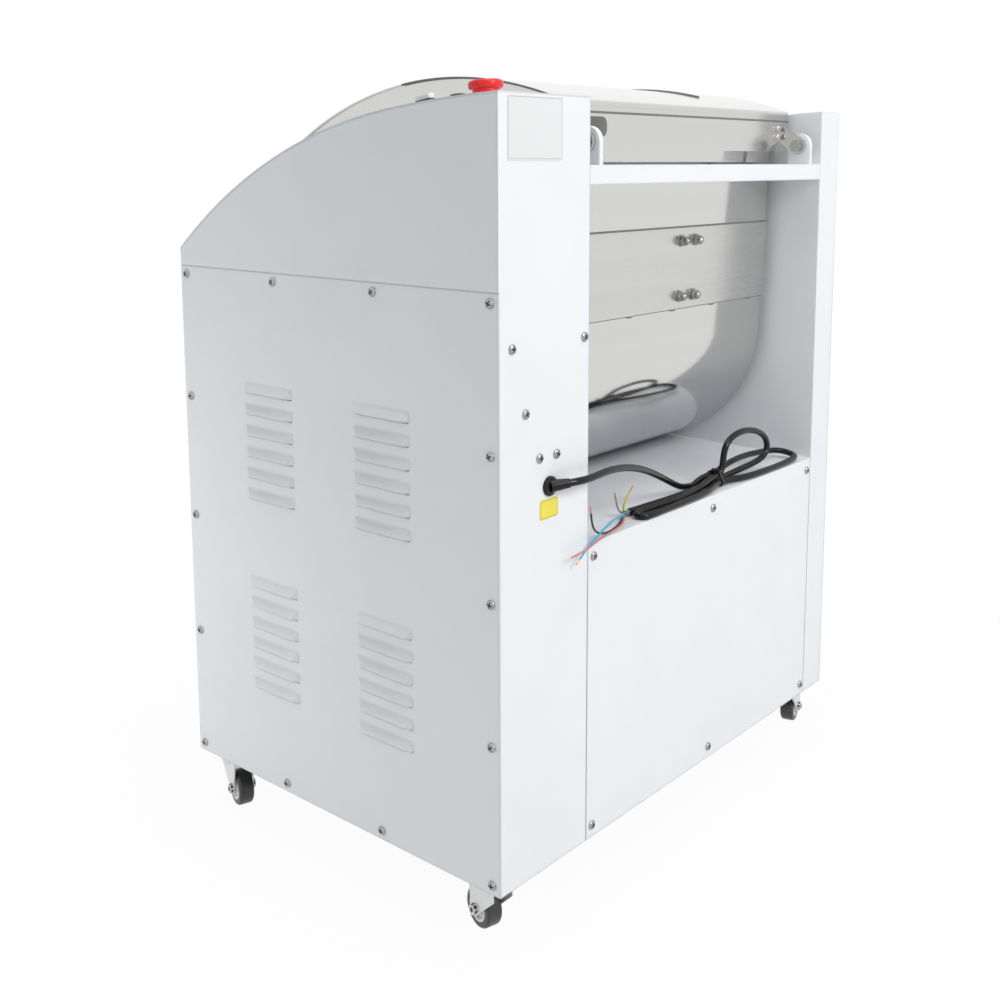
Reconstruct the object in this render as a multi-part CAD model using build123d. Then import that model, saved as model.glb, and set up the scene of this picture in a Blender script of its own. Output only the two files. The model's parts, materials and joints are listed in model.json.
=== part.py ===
from build123d import *
import math
import os

# Horizontal dough mixer. Millimetres, +Z up, origin on the floor under the middle of the body.
# Front is -Y, the wide drive tower is at +X and the narrow idle tower at -X.

# Body
BODY_W = 776.0
BODY_D = 570.0
BODY_H = 900.0
CASTOR_H = 74.0
SHEET = 1.5
DRIVE_W = 158.0
IDLE_W = 56.0
FRONT_H = 713.0
TOP_R = 2000.0
TOP_ANGLE = 2.5
TOP_FLAT = 155.0
COVER_H = 690.0
SEAM = 0.8
PANEL_GAP = 1.2
FLANGE_W = 26.0
TRAY_H = 378.5
WALL_FOOT_H = 300.0

# Base frame of angle iron
IRON_LEG = 40.0
IRON_T = 4.0
PAD = 96.0
PAD_RISE = 1.0
RAIL_W = 40.0
RAIL_T = 8.0

# Cover screws
SCREW_D = 11.5
SCREW_HEAD = 3.3
SCREW_SHANK_D = 6.0
SCREW_LENGTH = 4.0
SCREW_EDGE = 12.0
SIDE_ROWS = 5
SIDE_COLUMNS = 4
PANEL_COLUMNS = 3
PANEL_SCREW_DROP = 18.0
PANEL_SCREW_FOOT = 16.0

# Louvres
LOUVRE_COLUMNS = 2
LOUVRE_GROUPS = 2
LOUVRE_ROWS = 6
LOUVRE_L = 95.0
LOUVRE_H = 13.0
LOUVRE_OUT = 6.0
LOUVRE_END = 9.0
LOUVRE_PITCH = 28.0
LOUVRE_GROUP_STEP = 259.5
LOUVRE_COLUMN_STEP = 208.0
LOUVRE_FIRST_H = 139.0
LOUVRE_FIRST_Y = -107.0

# Rear beam and lid hinge
BEAM_D = 42.0
BEAM_T = 22.5
BEAM_DROP = 43.0
LUG_T = 8.0
LUG_W = 36.0
LUG_INSET = 29.0
PIVOT_UP = 26.5
PIVOT_BACK = 21.0
HINGE_BOLT_D = 10.0
HINGE_GAP = 1.0
BRACKET_T = 5.0
BRACKET_R = 12.0
BRACKET_FOOT = 7.0
BRACKET_TOP = 31.0
LEAF_W = 21.0
LEAF_T = 3.0
LEAF_BOLT_D = 9.0
LEAF_BOLT_H = 4.0
BUFFER_D = 18.0
BUFFER_SPAN = 300.0

# Lid
LID_GAP = 7.0
LID_BACK = 51.5
LID_R = 556.4
LID_CENTRE_Y = 51.3
LID_CENTRE_DROP = 475.4
LID_BEND = 5.0
LID_HEM = 2.2
LID_HEM_T = 2.0
LID_FRONT_DROP = 19.0
LID_REAR_DROP = 8.0
LID_END_INSET = 3.0
LID_HANDLE_D = 12.0
LID_HANDLE_W = 180.0
LID_HANDLE_OUT = 36.0

# Bowl, round about the mixing shaft's axis
AXIS_H = 582.0
BOWL_R = 198.0
BOWL_T = 2.0
BOWL_END_T = 3.0
BOWL_GAP = 17.0
BOWL_RIM_H = 844.0
FLARE_ANGLE = 2.5
DOUBLER_T = 3.0
DOUBLER_H = 112.0
DOUBLER_TOP_DROP = 64.0
DOUBLER_BOLT_X = -98.5
DOUBLER_BOLT_STEP = 35.0
DOUBLER_BOLT_EDGE = 17.5
NUT_AF = 13.0
NUT_H = 6.5
WASHER_D = 17.0
WASHER_T = 1.6
BOLT_D = 8.0

# Trunnions, shaft and bearings
SHAFT_D = 40.0
BEARING_OD = 68.0
BEARING_W = 15.0
SEAL_W = 7.0
SLEEVE_OD = 86.0
SLEEVE_OUT = 22.0
TRUNNION_FLANGE_D = 150.0
TRUNNION_FLANGE_T = 8.0
HOUSING_W = 130.0
HOUSING_T = 10.0
HOUSING_BOSS_D = 110.0
HOUSING_BOSS = 8.0
RUN = 0.04
FIT = 0.02
WALL_HOLE_CLEAR = 2.0

# Mixing arms
ARM_INSET = 52.0
ARM_HUB_D = 72.0
ARM_HUB_W = 46.0
ARM_T = 20.0
ARM_ROOT_W = 46.0
BAR_D = 30.0
BAR_R = 165.0
BAR_END_GAP = 26.0
ARM_ANGLE = 60.0

# Gears
MODULE = 5.0
GEAR_TEETH = 60
PINION_TEETH = 15
PRESSURE_ANGLE = 25.0
BACKLASH = 0.3
GEAR_W = 32.0
PINION_EXTRA = 2.0
GEAR_GAP = 20.0
GEAR_HUB_D = 80.0
GEAR_HUB_EXTRA = 4.0
GEAR_RIM = 16.0
GEAR_WEB_T = 10.0
PINION_ANGLE = -126.87
LAYSHAFT_D = 25.0
LAY_BEARING_OD = 52.0
LAY_BEARING_W = 15.0
LAY_FLANGE_D = 92.0
LAY_FLANGE_T = 6.0
LAY_BRACKET_T = 10.0
LAY_BRACKET_W = 84.0
LAY_BRACKET_DROP = 70.0
LAY_BRACKET_FOOT_T = 8.0

# Belt drive and motor
PULLEY_D = 230.0
MOTOR_PULLEY_D = 84.0
PULLEY_W = 36.0
PULLEY_RIM = 14.0
PULLEY_HUB_D = 56.0
PULLEY_WEB_T = 12.0
PULLEY_GAP = 5.0
GROOVE_STEP = 17.0
BELTS = 2
BELT_W = 13.0
BELT_T = 8.0
BELT_ANGLE = 20.0
BELT_CLEAR = 0.4
BELT_SINK = 1.0
MOTOR_D = 176.0
MOTOR_L = 250.0
MOTOR_Y = 40.0
MOTOR_AXIS_UP = 104.0
MOTOR_SHAFT_D = 24.0
MOTOR_FINS = 28
MOTOR_FIN_OUT = 6.0
MOTOR_FIN_T = 4.0
MOTOR_FOOT_L = 36.0
MOTOR_FOOT_W = 200.0
MOTOR_FOOT_T = 12.0
MOTOR_FOOT_INSET = 46.0
MOTOR_BOX = (90.0, 60.0, 44.0)
MOTOR_COWL_L = 46.0

# Control box on the drive tower's back, behind its three screws
BOX_W = 132.0
BOX_D = 58.0
BOX_H = 100.0
BOX_FOOT_H = 540.0
BACK_SCREWS = ((149.1, 627.5), (22.0, 627.5), (44.4, 553.0), (98.5, 499.0), (68.5, 499.0))
CLAMP_W = 46.0
CLAMP_D = 16.0
CLAMP_H = 22.0

# Controls on the curved top
CONTROL_INSET = 79.0
STOP_INSET = 86.0
START_INSET = 129.0
SELECTOR_INSET = 181.0
PANEL_HOLE_D = 22.4
BEZEL_D = 29.0
BEZEL_H = 3.0
STEM_D = 18.0
STEM_DOWN = 26.0
STOP_HEAD_D = 40.0
STOP_HEAD_H = 10.0
STOP_NECK_D = 31.0
STOP_NECK_H = 5.0
STOP_LIFT = 8.0
START_CAP_D = 23.0
START_CAP_UP = 4.0
START_BEZEL_H = 4.5
SELECTOR_D = 25.0
SELECTOR_H = 11.0
SELECTOR_GRIP_W = 9.0
SELECTOR_GRIP_H = 9.0
SELECTOR_LIFT = 0.3
CONTROL_CLEAR = 0.3

# Castors
CASTOR_INSET_X = 32.0
CASTOR_INSET_Y = 39.0
CASTOR_PLATE_X = 56.0
CASTOR_PLATE_Y = 54.0
CASTOR_PLATE_T = 2.5
CASTOR_RACE_D = 42.0
CASTOR_RACE_H = 5.0
KINGPIN_D = 10.0
KINGPIN_HEAD_D = 18.0
KINGPIN_HEAD = 3.0
SWIVEL_GAP = 0.35
WHEEL_D = 50.0
WHEEL_W = 21.0
HUB_D = 33.0
HUB_W = 23.0
AXLE_D = 8.0
FORK_T = 2.0
FORK_GAP = 1.0
CASTOR_TRAIL = 20.0
CROWN_OUT = 12.0
CROWN_LIP = 8.0
CASTOR_HEADING = {"drive_rear": 255.0, "drive_front": 72.0, "idle_rear": 195.0, "idle_front": 230.0}

# Power cable
CABLE_D = 9.0
CORE_D = 2.4
CORE_RING = 2.7
CORE_ANGLE = 24.0
GROMMET_INSET = 86.0
GROMMET_H = 464.0
GROMMET_D = 23.0
GROMMET_BORE = 17.0
GROMMET_LIP = 4.0
GROMMET_GROOVE = 0.3
SPOUT_D = 14.0
SPOUT_L = 13.0
CABLE_LIFT = 0.4
STRAND_STEP = 9.9
ROUTE_W = 562.0
ROUTE_REAR = 285.0
ROUTE_X1 = 230.0
TIE_W = 4.0
TIE_T = 1.2
TIE_SLACK = 0.3

# Derived places
FLOOR = CASTOR_H
REAR = BODY_D / 2
SIDE = BODY_W / 2
DRIVE_X = SIDE - DRIVE_W
IDLE_X = IDLE_W - SIDE
TRAY = FLOOR + TRAY_H
AXIS_Z = FLOOR + AXIS_H
BEAM_H = BOWL_RIM_H - BEAM_DROP
PIVOT_H = BEAM_H + BEAM_T + PIVOT_UP
PIVOT_Y = REAR - PIVOT_BACK
PIVOT_Z = FLOOR + PIVOT_H
LID_HALF_D = REAR - LID_BACK
LID_CENTRE_H = PIVOT_H - LID_CENTRE_DROP
LID_FRONT_H = PIVOT_H - LID_FRONT_DROP
LID_REAR_H = PIVOT_H - LID_REAR_DROP
DOUBLER_TOP_H = BEAM_H - DOUBLER_TOP_DROP
DOUBLER_FOOT_H = DOUBLER_TOP_H - DOUBLER_H
CONTROL_X = SIDE - CONTROL_INSET
STOP_Y = REAR - STOP_INSET
START_Y = REAR - START_INSET
SELECTOR_Y = REAR - SELECTOR_INSET
GROMMET_X = SIDE - GROMMET_INSET
PAD_FOOT = FLOOR + PAD_RISE
BOWL_X1 = DRIVE_X - BOWL_GAP
BOWL_X0 = IDLE_X + BOWL_GAP
LID_X1 = DRIVE_X - LID_GAP
LID_X0 = IDLE_X + LID_GAP

os.makedirs("parts", exist_ok=True)


def save(name, *solids):
    """Write one node, made of one or more separate solids."""
    flat = [s for shape in solids for s in shape.solids()]
    whole = flat[0] if len(flat) == 1 else Compound(children=flat)
    whole.label = name
    export_step(whole, f"parts/{name}.step")


def block(x0, x1, y0, y1, z0, z1):
    """A box between two corners."""
    return Pos((x0 + x1) / 2, (y0 + y1) / 2, (z0 + z1) / 2) * Box(abs(x1 - x0), abs(y1 - y0), abs(z1 - z0))


def bar_x(x0, x1, y, z, d):
    """A round bar along X."""
    return Pos((x0 + x1) / 2, y, z) * Rot(0, 90, 0) * Cylinder(d / 2, abs(x1 - x0))


def ring_x(x0, x1, y, z, d_out, d_in):
    """A ring about an axis along X."""
    return bar_x(x0, x1, y, z, d_out) - bar_x(x0 - 1, x1 + 1, y, z, d_in)


def slab_x(face, x0, x1):
    """Extrude a face drawn in (Y, Z) from x0 to x1."""
    return extrude(Plane.YZ.offset(x0) * face, x1 - x0)


# The cheeks' curved top: a flat arc behind, which runs into a rounder one down to the front corner
SLOPE = math.radians(TOP_ANGLE)
FLAT_Y = REAR + TOP_R * math.sin(SLOPE)
FLAT_Z = FLOOR + BODY_H - TOP_R * math.cos(SLOPE)
BEND_Y = REAR - TOP_FLAT
BEND_Z = FLAT_Z + math.sqrt(TOP_R**2 - (BEND_Y - FLAT_Y) ** 2)
WAY = Vector((BEND_Y - FLAT_Y) / TOP_R, (BEND_Z - FLAT_Z) / TOP_R, 0)
REACH = Vector(-REAR - BEND_Y, FLOOR + FRONT_H - BEND_Z, 0)
FRONT_R = -REACH.dot(REACH) / (2 * REACH.dot(WAY))
ROUND_Y = BEND_Y - FRONT_R * WAY.X
ROUND_Z = BEND_Z - FRONT_R * WAY.Y


def bend_y(inset=0.0):
    """Y where the top's two arcs meet, inset below the outer face."""
    return FLAT_Y + (BEND_Y - FLAT_Y) * (TOP_R - inset) / TOP_R


def top_z(y, inset=0.0):
    """Height of the curved top at y, inset below the outer face."""
    if y >= bend_y(inset):
        return FLAT_Z + math.sqrt((TOP_R - inset) ** 2 - (y - FLAT_Y) ** 2)
    return ROUND_Z + math.sqrt((FRONT_R - inset) ** 2 - (y - ROUND_Y) ** 2)


def cheek(end_inset, top_inset, foot):
    """The towers' side outline in (Y, Z)."""
    y1 = REAR - end_inset
    bend = bend_y(top_inset)

    def at(y):
        return (y, top_z(y, top_inset))

    edges = [
        Line((-y1, foot), at(-y1)),
        ThreePointArc(at(-y1), at((bend - y1) / 2), at(bend)),
        ThreePointArc(at(bend), at((bend + y1) / 2), at(y1)),
        Line(at(y1), (y1, foot)),
        Line((y1, foot), (-y1, foot)),
    ]
    return make_face(edges)


def tower(x_in, x_out, closed_top):
    """A folded sheet tower, open at its foot and over its screw-on side cover."""
    lo, hi = sorted((x_in, x_out))
    out = 1 if x_out > x_in else -1
    top = 0 if closed_top else SHEET
    shell = slab_x(cheek(0, top, FLOOR), lo, hi)
    core_top = SHEET if closed_top else -SHEET
    shell -= slab_x(cheek(SHEET, core_top, FLOOR - 1), lo + SHEET, hi - SHEET)
    cover_top = FLOOR + COVER_H
    shell -= block(x_out - out * SHEET, x_out, -REAR, REAR, FLOOR, cover_top)
    shell -= block(x_in, x_in + out * SHEET, -REAR + SHEET, REAR - SHEET, FLOOR, FLOOR + WALL_FOOT_H)
    f1 = x_out - out * SHEET
    f0 = f1 - out * SHEET
    inner = REAR - SHEET
    for y0, y1 in ((-inner, -inner + FLANGE_W), (inner - FLANGE_W, inner)):
        shell += block(f0, f1, y0, y1, FLOOR, cover_top)
    shell += block(f0, f1, -inner, inner, FLOOR, FLOOR + FLANGE_W)
    shell += block(f0, f1, -inner, inner, cover_top - FLANGE_W, cover_top + FLANGE_W / 2)
    shell -= bar_x(x_in - out, x_in + 2 * out, 0, AXIS_Z, SLEEVE_OD + 2 * WALL_HOLE_CLEAR)
    return shell


def screw(direction):
    """A pan-head screw at the origin, its head towards direction."""
    head = Cylinder(SCREW_D / 2, SCREW_HEAD, align=(Align.CENTER, Align.CENTER, Align.MIN))
    head = fillet(head.edges().group_by(Axis.Z)[-1], SCREW_HEAD * 0.6)
    shank = Cylinder(SCREW_SHANK_D / 2, SCREW_LENGTH, align=(Align.CENTER, Align.CENTER, Align.MAX))
    return Plane((0, 0, 0), z_dir=direction) * (head + shank)


def screw_hole(x, y, z, direction):
    """The hole that a screw's shank fills."""
    return Plane((x, y, z), z_dir=direction) * Cylinder(SCREW_SHANK_D / 2, 4 * SCREW_LENGTH)


def back_screw_places():
    """(x, z) of the screws in the drive tower's back."""
    return [(SIDE - inset, FLOOR + h) for inset, h in BACK_SCREWS]


def side_screw_places():
    """(y, z) of the side cover's screws, round its edge."""
    reach_y = REAR - SCREW_EDGE
    z0 = FLOOR + SCREW_EDGE
    z1 = FLOOR + COVER_H - SCREW_EDGE
    places = []
    for i in range(SIDE_COLUMNS):
        for j in range(SIDE_ROWS):
            if i in (0, SIDE_COLUMNS - 1) or j in (0, SIDE_ROWS - 1):
                y = -reach_y + 2 * reach_y * i / (SIDE_COLUMNS - 1)
                places.append((y, z0 + (z1 - z0) * j / (SIDE_ROWS - 1)))
    return places


def panel_screw_places():
    """(x, z) of the rear and front panels' screws."""
    x0 = IDLE_X + SCREW_EDGE
    x1 = DRIVE_X - SCREW_EDGE
    rows = (FLOOR + PANEL_SCREW_FOOT, TRAY - PANEL_SCREW_DROP)
    return [(x0 + (x1 - x0) * i / (PANEL_COLUMNS - 1), z) for i in range(PANEL_COLUMNS) for z in rows]


def side_cover(x_out, louvred):
    """A screw-on side cover, its louvres pressed outwards and open below."""
    out = 1 if x_out > 0 else -1
    plate = block(x_out - out * SHEET, x_out, -REAR, REAR, FLOOR, FLOOR + COVER_H - SEAM)
    for y, z in side_screw_places():
        plate -= screw_hole(x_out, y, z, (out, 0, 0))
    if not louvred:
        return plate
    hood = louvre_hood(0.0)
    throat = louvre_hood(SHEET)
    for x, y, z in louvre_places(x_out):
        plate += Pos(x, y, z) * hood
        plate -= Pos(x, y, z) * throat
    return plate


def louvre_places(x_out):
    """Places of the louvres, in groups of rows."""
    return [
        (x_out, LOUVRE_FIRST_Y + LOUVRE_COLUMN_STEP * c,
         FLOOR + LOUVRE_FIRST_H + LOUVRE_GROUP_STEP * g + LOUVRE_PITCH * r)
        for c in range(LOUVRE_COLUMNS)
        for g in range(LOUVRE_GROUPS)
        for r in range(LOUVRE_ROWS)
    ]


def louvre_hood(inset):
    """One louvre: a hood that leans out downwards, its ends sloping back to the sheet, or the hollow inside it."""
    half = LOUVRE_L / 2 - inset
    out = LOUVRE_OUT - inset
    back = -2 * SHEET if inset else -SHEET / 2
    low = -LOUVRE_H / 2 - (1 if inset else 0)
    high = LOUVRE_H / 2 - inset
    section = make_face(Polyline((back, low), (back, high), (0, high), (out, low), (back, low)))
    hood = extrude(Plane.XZ.offset(-half) * section, 2 * half)
    crest = half - LOUVRE_END * out / LOUVRE_OUT
    plan = make_face(Polyline((back, -half), (0, -half), (out, -crest), (out, crest), (0, half), (back, half),
                              (back, -half)))
    return hood & (Pos(0, 0, low) * extrude(plan, high - low))


def tray():
    """The base's top, folded down at front and rear behind the panels."""
    inner = REAR - SHEET
    plate = block(IDLE_X, DRIVE_X, -inner, inner, TRAY - SHEET, TRAY)
    for s in (-1, 1):
        plate += block(IDLE_X, DRIVE_X, s * inner, s * (inner - SHEET), TRAY - IRON_LEG, TRAY)
        for x, z in panel_screw_places():
            plate -= screw_hole(x, s * REAR, z, (0, s, 0))
    return plate


def base_panel(s):
    """The rear (s = 1) or front (s = -1) panel below the tray."""
    plate = block(IDLE_X + PANEL_GAP, DRIVE_X - PANEL_GAP, s * REAR, s * (REAR - SHEET), FLOOR, TRAY)
    for x, z in panel_screw_places():
        plate -= screw_hole(x, s * REAR, z, (0, s, 0))
    return plate


def castor_axes():
    """Swivel axis of each castor."""
    x = SIDE - CASTOR_INSET_X
    y = REAR - CASTOR_INSET_Y
    return {"drive_rear": (x, y), "drive_front": (x, -y), "idle_rear": (-x, y), "idle_front": (-x, -y)}


def base_frame():
    """Welded angle-iron frame with sunk corner pads for the castors and rails under the motor."""
    x1 = SIDE - 2 * SHEET
    y1 = REAR - SHEET
    z0 = FLOOR
    frame = None
    for s in (-1, 1):
        runs = (
            block(-x1, x1, s * y1, s * (y1 - IRON_LEG), z0, z0 + IRON_T),
            block(-x1, x1, s * y1, s * (y1 - IRON_T), z0, z0 + IRON_LEG),
            block(s * x1, s * (x1 - IRON_LEG), -y1, y1, z0, z0 + IRON_T),
            block(s * x1, s * (x1 - IRON_T), -y1, y1, z0, z0 + IRON_LEG),
        )
        for run in runs:
            frame = run if frame is None else frame + run
    for x, y in castor_axes().values():
        sx, sy = math.copysign(1, x), math.copysign(1, y)
        frame += block(sx * x1, sx * (x1 - PAD), sy * y1, sy * (y1 - PAD), z0, z0 + IRON_T)
        frame -= block(sx * (x1 + 1), sx * (x1 - PAD), sy * (y1 + 1), sy * (y1 - PAD), z0 - 1, PAD_FOOT)
    for x in motor_foot_places():
        frame += block(x - RAIL_W / 2, x + RAIL_W / 2, -y1, y1, z0 + IRON_T, z0 + IRON_T + RAIL_T)
    for x, z in panel_screw_places():
        for s in (-1, 1):
            frame -= screw_hole(x, s * REAR, z, (0, s, 0))
    for y, z in side_screw_places():
        for s in (-1, 1):
            frame -= screw_hole(s * SIDE, y, z, (s, 0, 0))
    return frame


# Planes of the drive along X, counted outwards from the drive tower's inner wall
WALL_X = DRIVE_X + SHEET
GEAR_X0 = WALL_X + HOUSING_T + HOUSING_BOSS + GEAR_GAP
GEAR_X1 = GEAR_X0 + GEAR_W
BRACKET_X0 = GEAR_X1 + GEAR_HUB_EXTRA + PULLEY_GAP
BRACKET_X1 = BRACKET_X0 + LAY_BRACKET_T
PULLEY_X0 = BRACKET_X1 + PULLEY_GAP
PULLEY_X1 = PULLEY_X0 + PULLEY_W
CENTRES = MODULE * (GEAR_TEETH + PINION_TEETH) / 2
LAY_Y = CENTRES * math.cos(math.radians(PINION_ANGLE))
LAY_Z = AXIS_Z + CENTRES * math.sin(math.radians(PINION_ANGLE))
MOTOR_X1 = PULLEY_X0 - 2 * PULLEY_GAP
MOTOR_X0 = MOTOR_X1 - MOTOR_L
MOTOR_Z = FLOOR + IRON_T + RAIL_T + MOTOR_AXIS_UP


def motor_foot_places():
    """X of the motor's two pairs of feet, over the rails."""
    return (MOTOR_X0 + MOTOR_COWL_L + MOTOR_FOOT_INSET, MOTOR_X1 - MOTOR_FOOT_INSET)


def drive_tower():
    """The wide tower, with holes for the grommet and the screws."""
    shell = tower(DRIVE_X, SIDE, False)
    hole = Pos(GROMMET_X, REAR, FLOOR + GROMMET_H) * Rot(90, 0, 0) * Cylinder(GROMMET_BORE / 2, 4 * SHEET)
    shell -= hole
    for y, z in side_screw_places():
        shell -= screw_hole(SIDE, y, z, (1, 0, 0))
    for x, z in back_screw_places():
        shell -= screw_hole(x, REAR, z, (0, 1, 0))
    return shell


def idle_tower():
    """The narrow tower."""
    shell = tower(IDLE_X, -SIDE, True)
    for y, z in side_screw_places():
        shell -= screw_hole(-SIDE, y, z, (-1, 0, 0))
    return shell


def all_screws():
    """Every cover screw, as separate solids."""
    solids = []
    for s in (-1, 1):
        solids += [Pos(s * SIDE, y, z) * screw((s, 0, 0)) for y, z in side_screw_places()]
        solids += [Pos(x, s * REAR, z) * screw((0, s, 0)) for x, z in panel_screw_places()]
    solids += [Pos(x, REAR, z) * screw((0, 1, 0)) for x, z in back_screw_places()]
    return solids


def on_top(y):
    """A plane on the curved top at y, its normal pointing out."""
    z = top_z(y)
    centre_y, centre_z = (FLAT_Y, FLAT_Z) if y >= BEND_Y else (ROUND_Y, ROUND_Z)
    normal = Vector(0, y - centre_y, z - centre_z).normalized()
    return Plane((CONTROL_X, y, z), x_dir=(1, 0, 0), z_dir=normal)


def post(d, h0, h1):
    """A round post along Z from h0 to h1."""
    return Pos(0, 0, h0) * Cylinder(d / 2, h1 - h0, align=(Align.CENTER, Align.CENTER, Align.MIN))


def fascia():
    """The drive tower's curved top sheet, with a hole for each control."""
    sheet = slab_x(cheek(0, 0, FLOOR), DRIVE_X, SIDE) - slab_x(cheek(-1, SHEET, FLOOR - 1), DRIVE_X - 1, SIDE + 1)
    for y in (STOP_Y, START_Y, SELECTOR_Y):
        sheet -= on_top(y) * post(PANEL_HOLE_D, -3 * SHEET, 3 * SHEET)
    return sheet


def bezels():
    """The chromed rings round the controls."""
    bore = STEM_D + 2 * CONTROL_CLEAR
    plain = post(BEZEL_D, 0, BEZEL_H) - post(bore, -1, BEZEL_H + 1)
    plain = chamfer(plain.edges().filter_by(GeomType.CIRCLE).group_by(Axis.Z)[-1].sort_by(SortBy.RADIUS)[-1:], 1)
    flush_bore = START_CAP_D + 2 * CONTROL_CLEAR
    flush = post(BEZEL_D, 0, START_BEZEL_H) - post(flush_bore, 0.8, START_BEZEL_H + 1)
    flush -= post(bore, -1, 2)
    return [on_top(STOP_Y) * plain, on_top(START_Y) * flush, on_top(SELECTOR_Y) * plain]


def stop_button():
    """Red mushroom stop button, two-stepped, on its stem."""
    neck_top = STOP_LIFT + STOP_NECK_H
    head = post(STOP_HEAD_D, neck_top, neck_top + STOP_HEAD_H)
    head = fillet(head.edges().filter_by(GeomType.CIRCLE), STOP_HEAD_H * 0.4)
    body = head + post(STOP_NECK_D, STOP_LIFT, neck_top) + post(STEM_D, -STEM_DOWN, STOP_LIFT)
    return on_top(STOP_Y) * body


def start_button():
    """Flush push button in its ring."""
    cap = post(START_CAP_D, 4 * CONTROL_CLEAR + 3, START_BEZEL_H + START_CAP_UP)
    cap = fillet(cap.edges().filter_by(GeomType.CIRCLE).group_by(Axis.Z)[-1], 1.2)
    return on_top(START_Y) * (cap + post(STEM_D, -STEM_DOWN, 4 * CONTROL_CLEAR + 3.5))


def selector():
    """Turning selector with a raised grip."""
    base = BEZEL_H + SELECTOR_LIFT
    knob = post(SELECTOR_D, base, base + SELECTOR_H / 2)
    knob = chamfer(knob.edges().filter_by(GeomType.CIRCLE).group_by(Axis.Z)[-1], 2)
    grip_top = base + SELECTOR_H / 2 + SELECTOR_GRIP_H
    grip = block(-SELECTOR_GRIP_W / 2, SELECTOR_GRIP_W / 2, -SELECTOR_D / 2 + 1, SELECTOR_D / 2 - 1, base, grip_top)
    grip = fillet(grip.edges().filter_by(Axis.Y).group_by(Axis.Z)[-1], SELECTOR_GRIP_W * 0.35)
    return on_top(SELECTOR_Y) * (knob + grip + post(STEM_D, -STEM_DOWN, base + 1))


def lug_places():
    """Outer face of each hinge lug along X, and the way to the lid's middle."""
    return ((DRIVE_X - LUG_INSET + LUG_T, -1), (IDLE_X + LUG_INSET - LUG_T, 1))


def rear_beam():
    """White cross beam of box section, with two rounded hinge lugs welded on top."""
    z0 = FLOOR + BEAM_H
    beam = block(IDLE_X, DRIVE_X, REAR - BEAM_D, REAR, z0, z0 + BEAM_T)
    beam -= block(IDLE_X - 1, DRIVE_X + 1, REAR - BEAM_D + SHEET, REAR - SHEET, z0 + SHEET, z0 + BEAM_T - SHEET)
    top = z0 + BEAM_T
    foot = make_face(Polyline((PIVOT_Y - LUG_W / 2, top), (PIVOT_Y + LUG_W / 2, top),
                              (PIVOT_Y + LUG_W / 2, PIVOT_Z), (PIVOT_Y - LUG_W / 2, PIVOT_Z),
                              (PIVOT_Y - LUG_W / 2, top)))
    outline = foot + Pos(PIVOT_Y, PIVOT_Z) * Circle(LUG_W / 2) - Pos(PIVOT_Y, PIVOT_Z) * Circle(HINGE_BOLT_D / 2)
    for x, way in lug_places():
        beam += slab_x(outline, min(x, x + way * LUG_T), max(x, x + way * LUG_T))
    return beam


def hinge_bolts():
    """Bolts that pin the lid's brackets to the lugs, each with its nut."""
    solids = []
    head = HINGE_BOLT_D * 0.6
    for x, way in lug_places():
        inner = x + way * (LUG_T + HINGE_GAP + BRACKET_T + HINGE_GAP / 2)
        bolt = bar_x(x - way * head, inner + way * head, PIVOT_Y, PIVOT_Z, HINGE_BOLT_D - FIT)
        flats = Plane.YZ * (Pos(PIVOT_Y, PIVOT_Z) * RegularPolygon(HINGE_BOLT_D * 0.92, 6))
        for x0, x1 in ((x - way * head, x), (inner, inner + way * head)):
            bolt += extrude(Pos(min(x0, x1), 0, 0) * flats, head)
        solids.append(bolt)
    return solids


def hinge_brackets():
    """Stainless hinge arms on the lid's rear flange, each with a leaf and two bolts that hold it."""
    y0 = LID_HALF_D
    y1 = y0 + LEAF_T
    z0 = PIVOT_Z + BRACKET_FOOT
    z1 = PIVOT_Z + BRACKET_TOP
    circle = Pos(PIVOT_Y, PIVOT_Z) * Circle(BRACKET_R)
    root = make_face(Polyline((y0, z0), (y1, z0), (y1, z1), (y0, z1), (y0, z0)))
    arm = make_hull(circle.edges() + root.edges())
    arm -= Pos(PIVOT_Y, PIVOT_Z) * Circle(HINGE_BOLT_D / 2 + RUN)
    solids = []
    for x, way in lug_places():
        x0 = x + way * (LUG_T + HINGE_GAP)
        x1 = x0 + way * BRACKET_T
        x2 = x1 + way * LEAF_W
        bracket = slab_x(arm, min(x0, x1), max(x0, x1)) + block(x0, x2, y0, y1, z0, z1)
        for share in (0.25, 0.75):
            head = Plane(((x1 + x2) / 2, y1, z0 + (z1 - z0) * share), z_dir=(0, 1, 0)) * post(LEAF_BOLT_D, 0, LEAF_BOLT_H)
            bracket += fillet(head.edges().filter_by(GeomType.CIRCLE).group_by(Axis.Y)[-1], LEAF_BOLT_H * 0.4)
        solids.append(bracket)
    return solids


def lid_outline(inset, drop):
    """The lid's section in (Y, Z), inset inside its outer face, its foot dropped by drop."""
    y1 = LID_HALF_D - inset
    r = LID_R - inset
    cz = FLOOR + LID_CENTRE_H

    def arc_z(y):
        return cz + math.sqrt(r**2 - (y - LID_CENTRE_Y) ** 2)

    front = (-y1, FLOOR + LID_FRONT_H - drop)
    rear = (y1, FLOOR + LID_REAR_H - drop)
    a = (-y1, arc_z(-y1))
    b = (y1, arc_z(y1))
    face = make_face([
        Line(front, a),
        ThreePointArc(a, (LID_CENTRE_Y, cz + r), b),
        Line(b, rear),
        Line(rear, front),
    ])
    corner = face.vertices().sort_by(Axis.Y)[-2:].sort_by(Axis.Z)[-1:]
    return fillet(corner, LID_BEND - inset)


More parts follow.
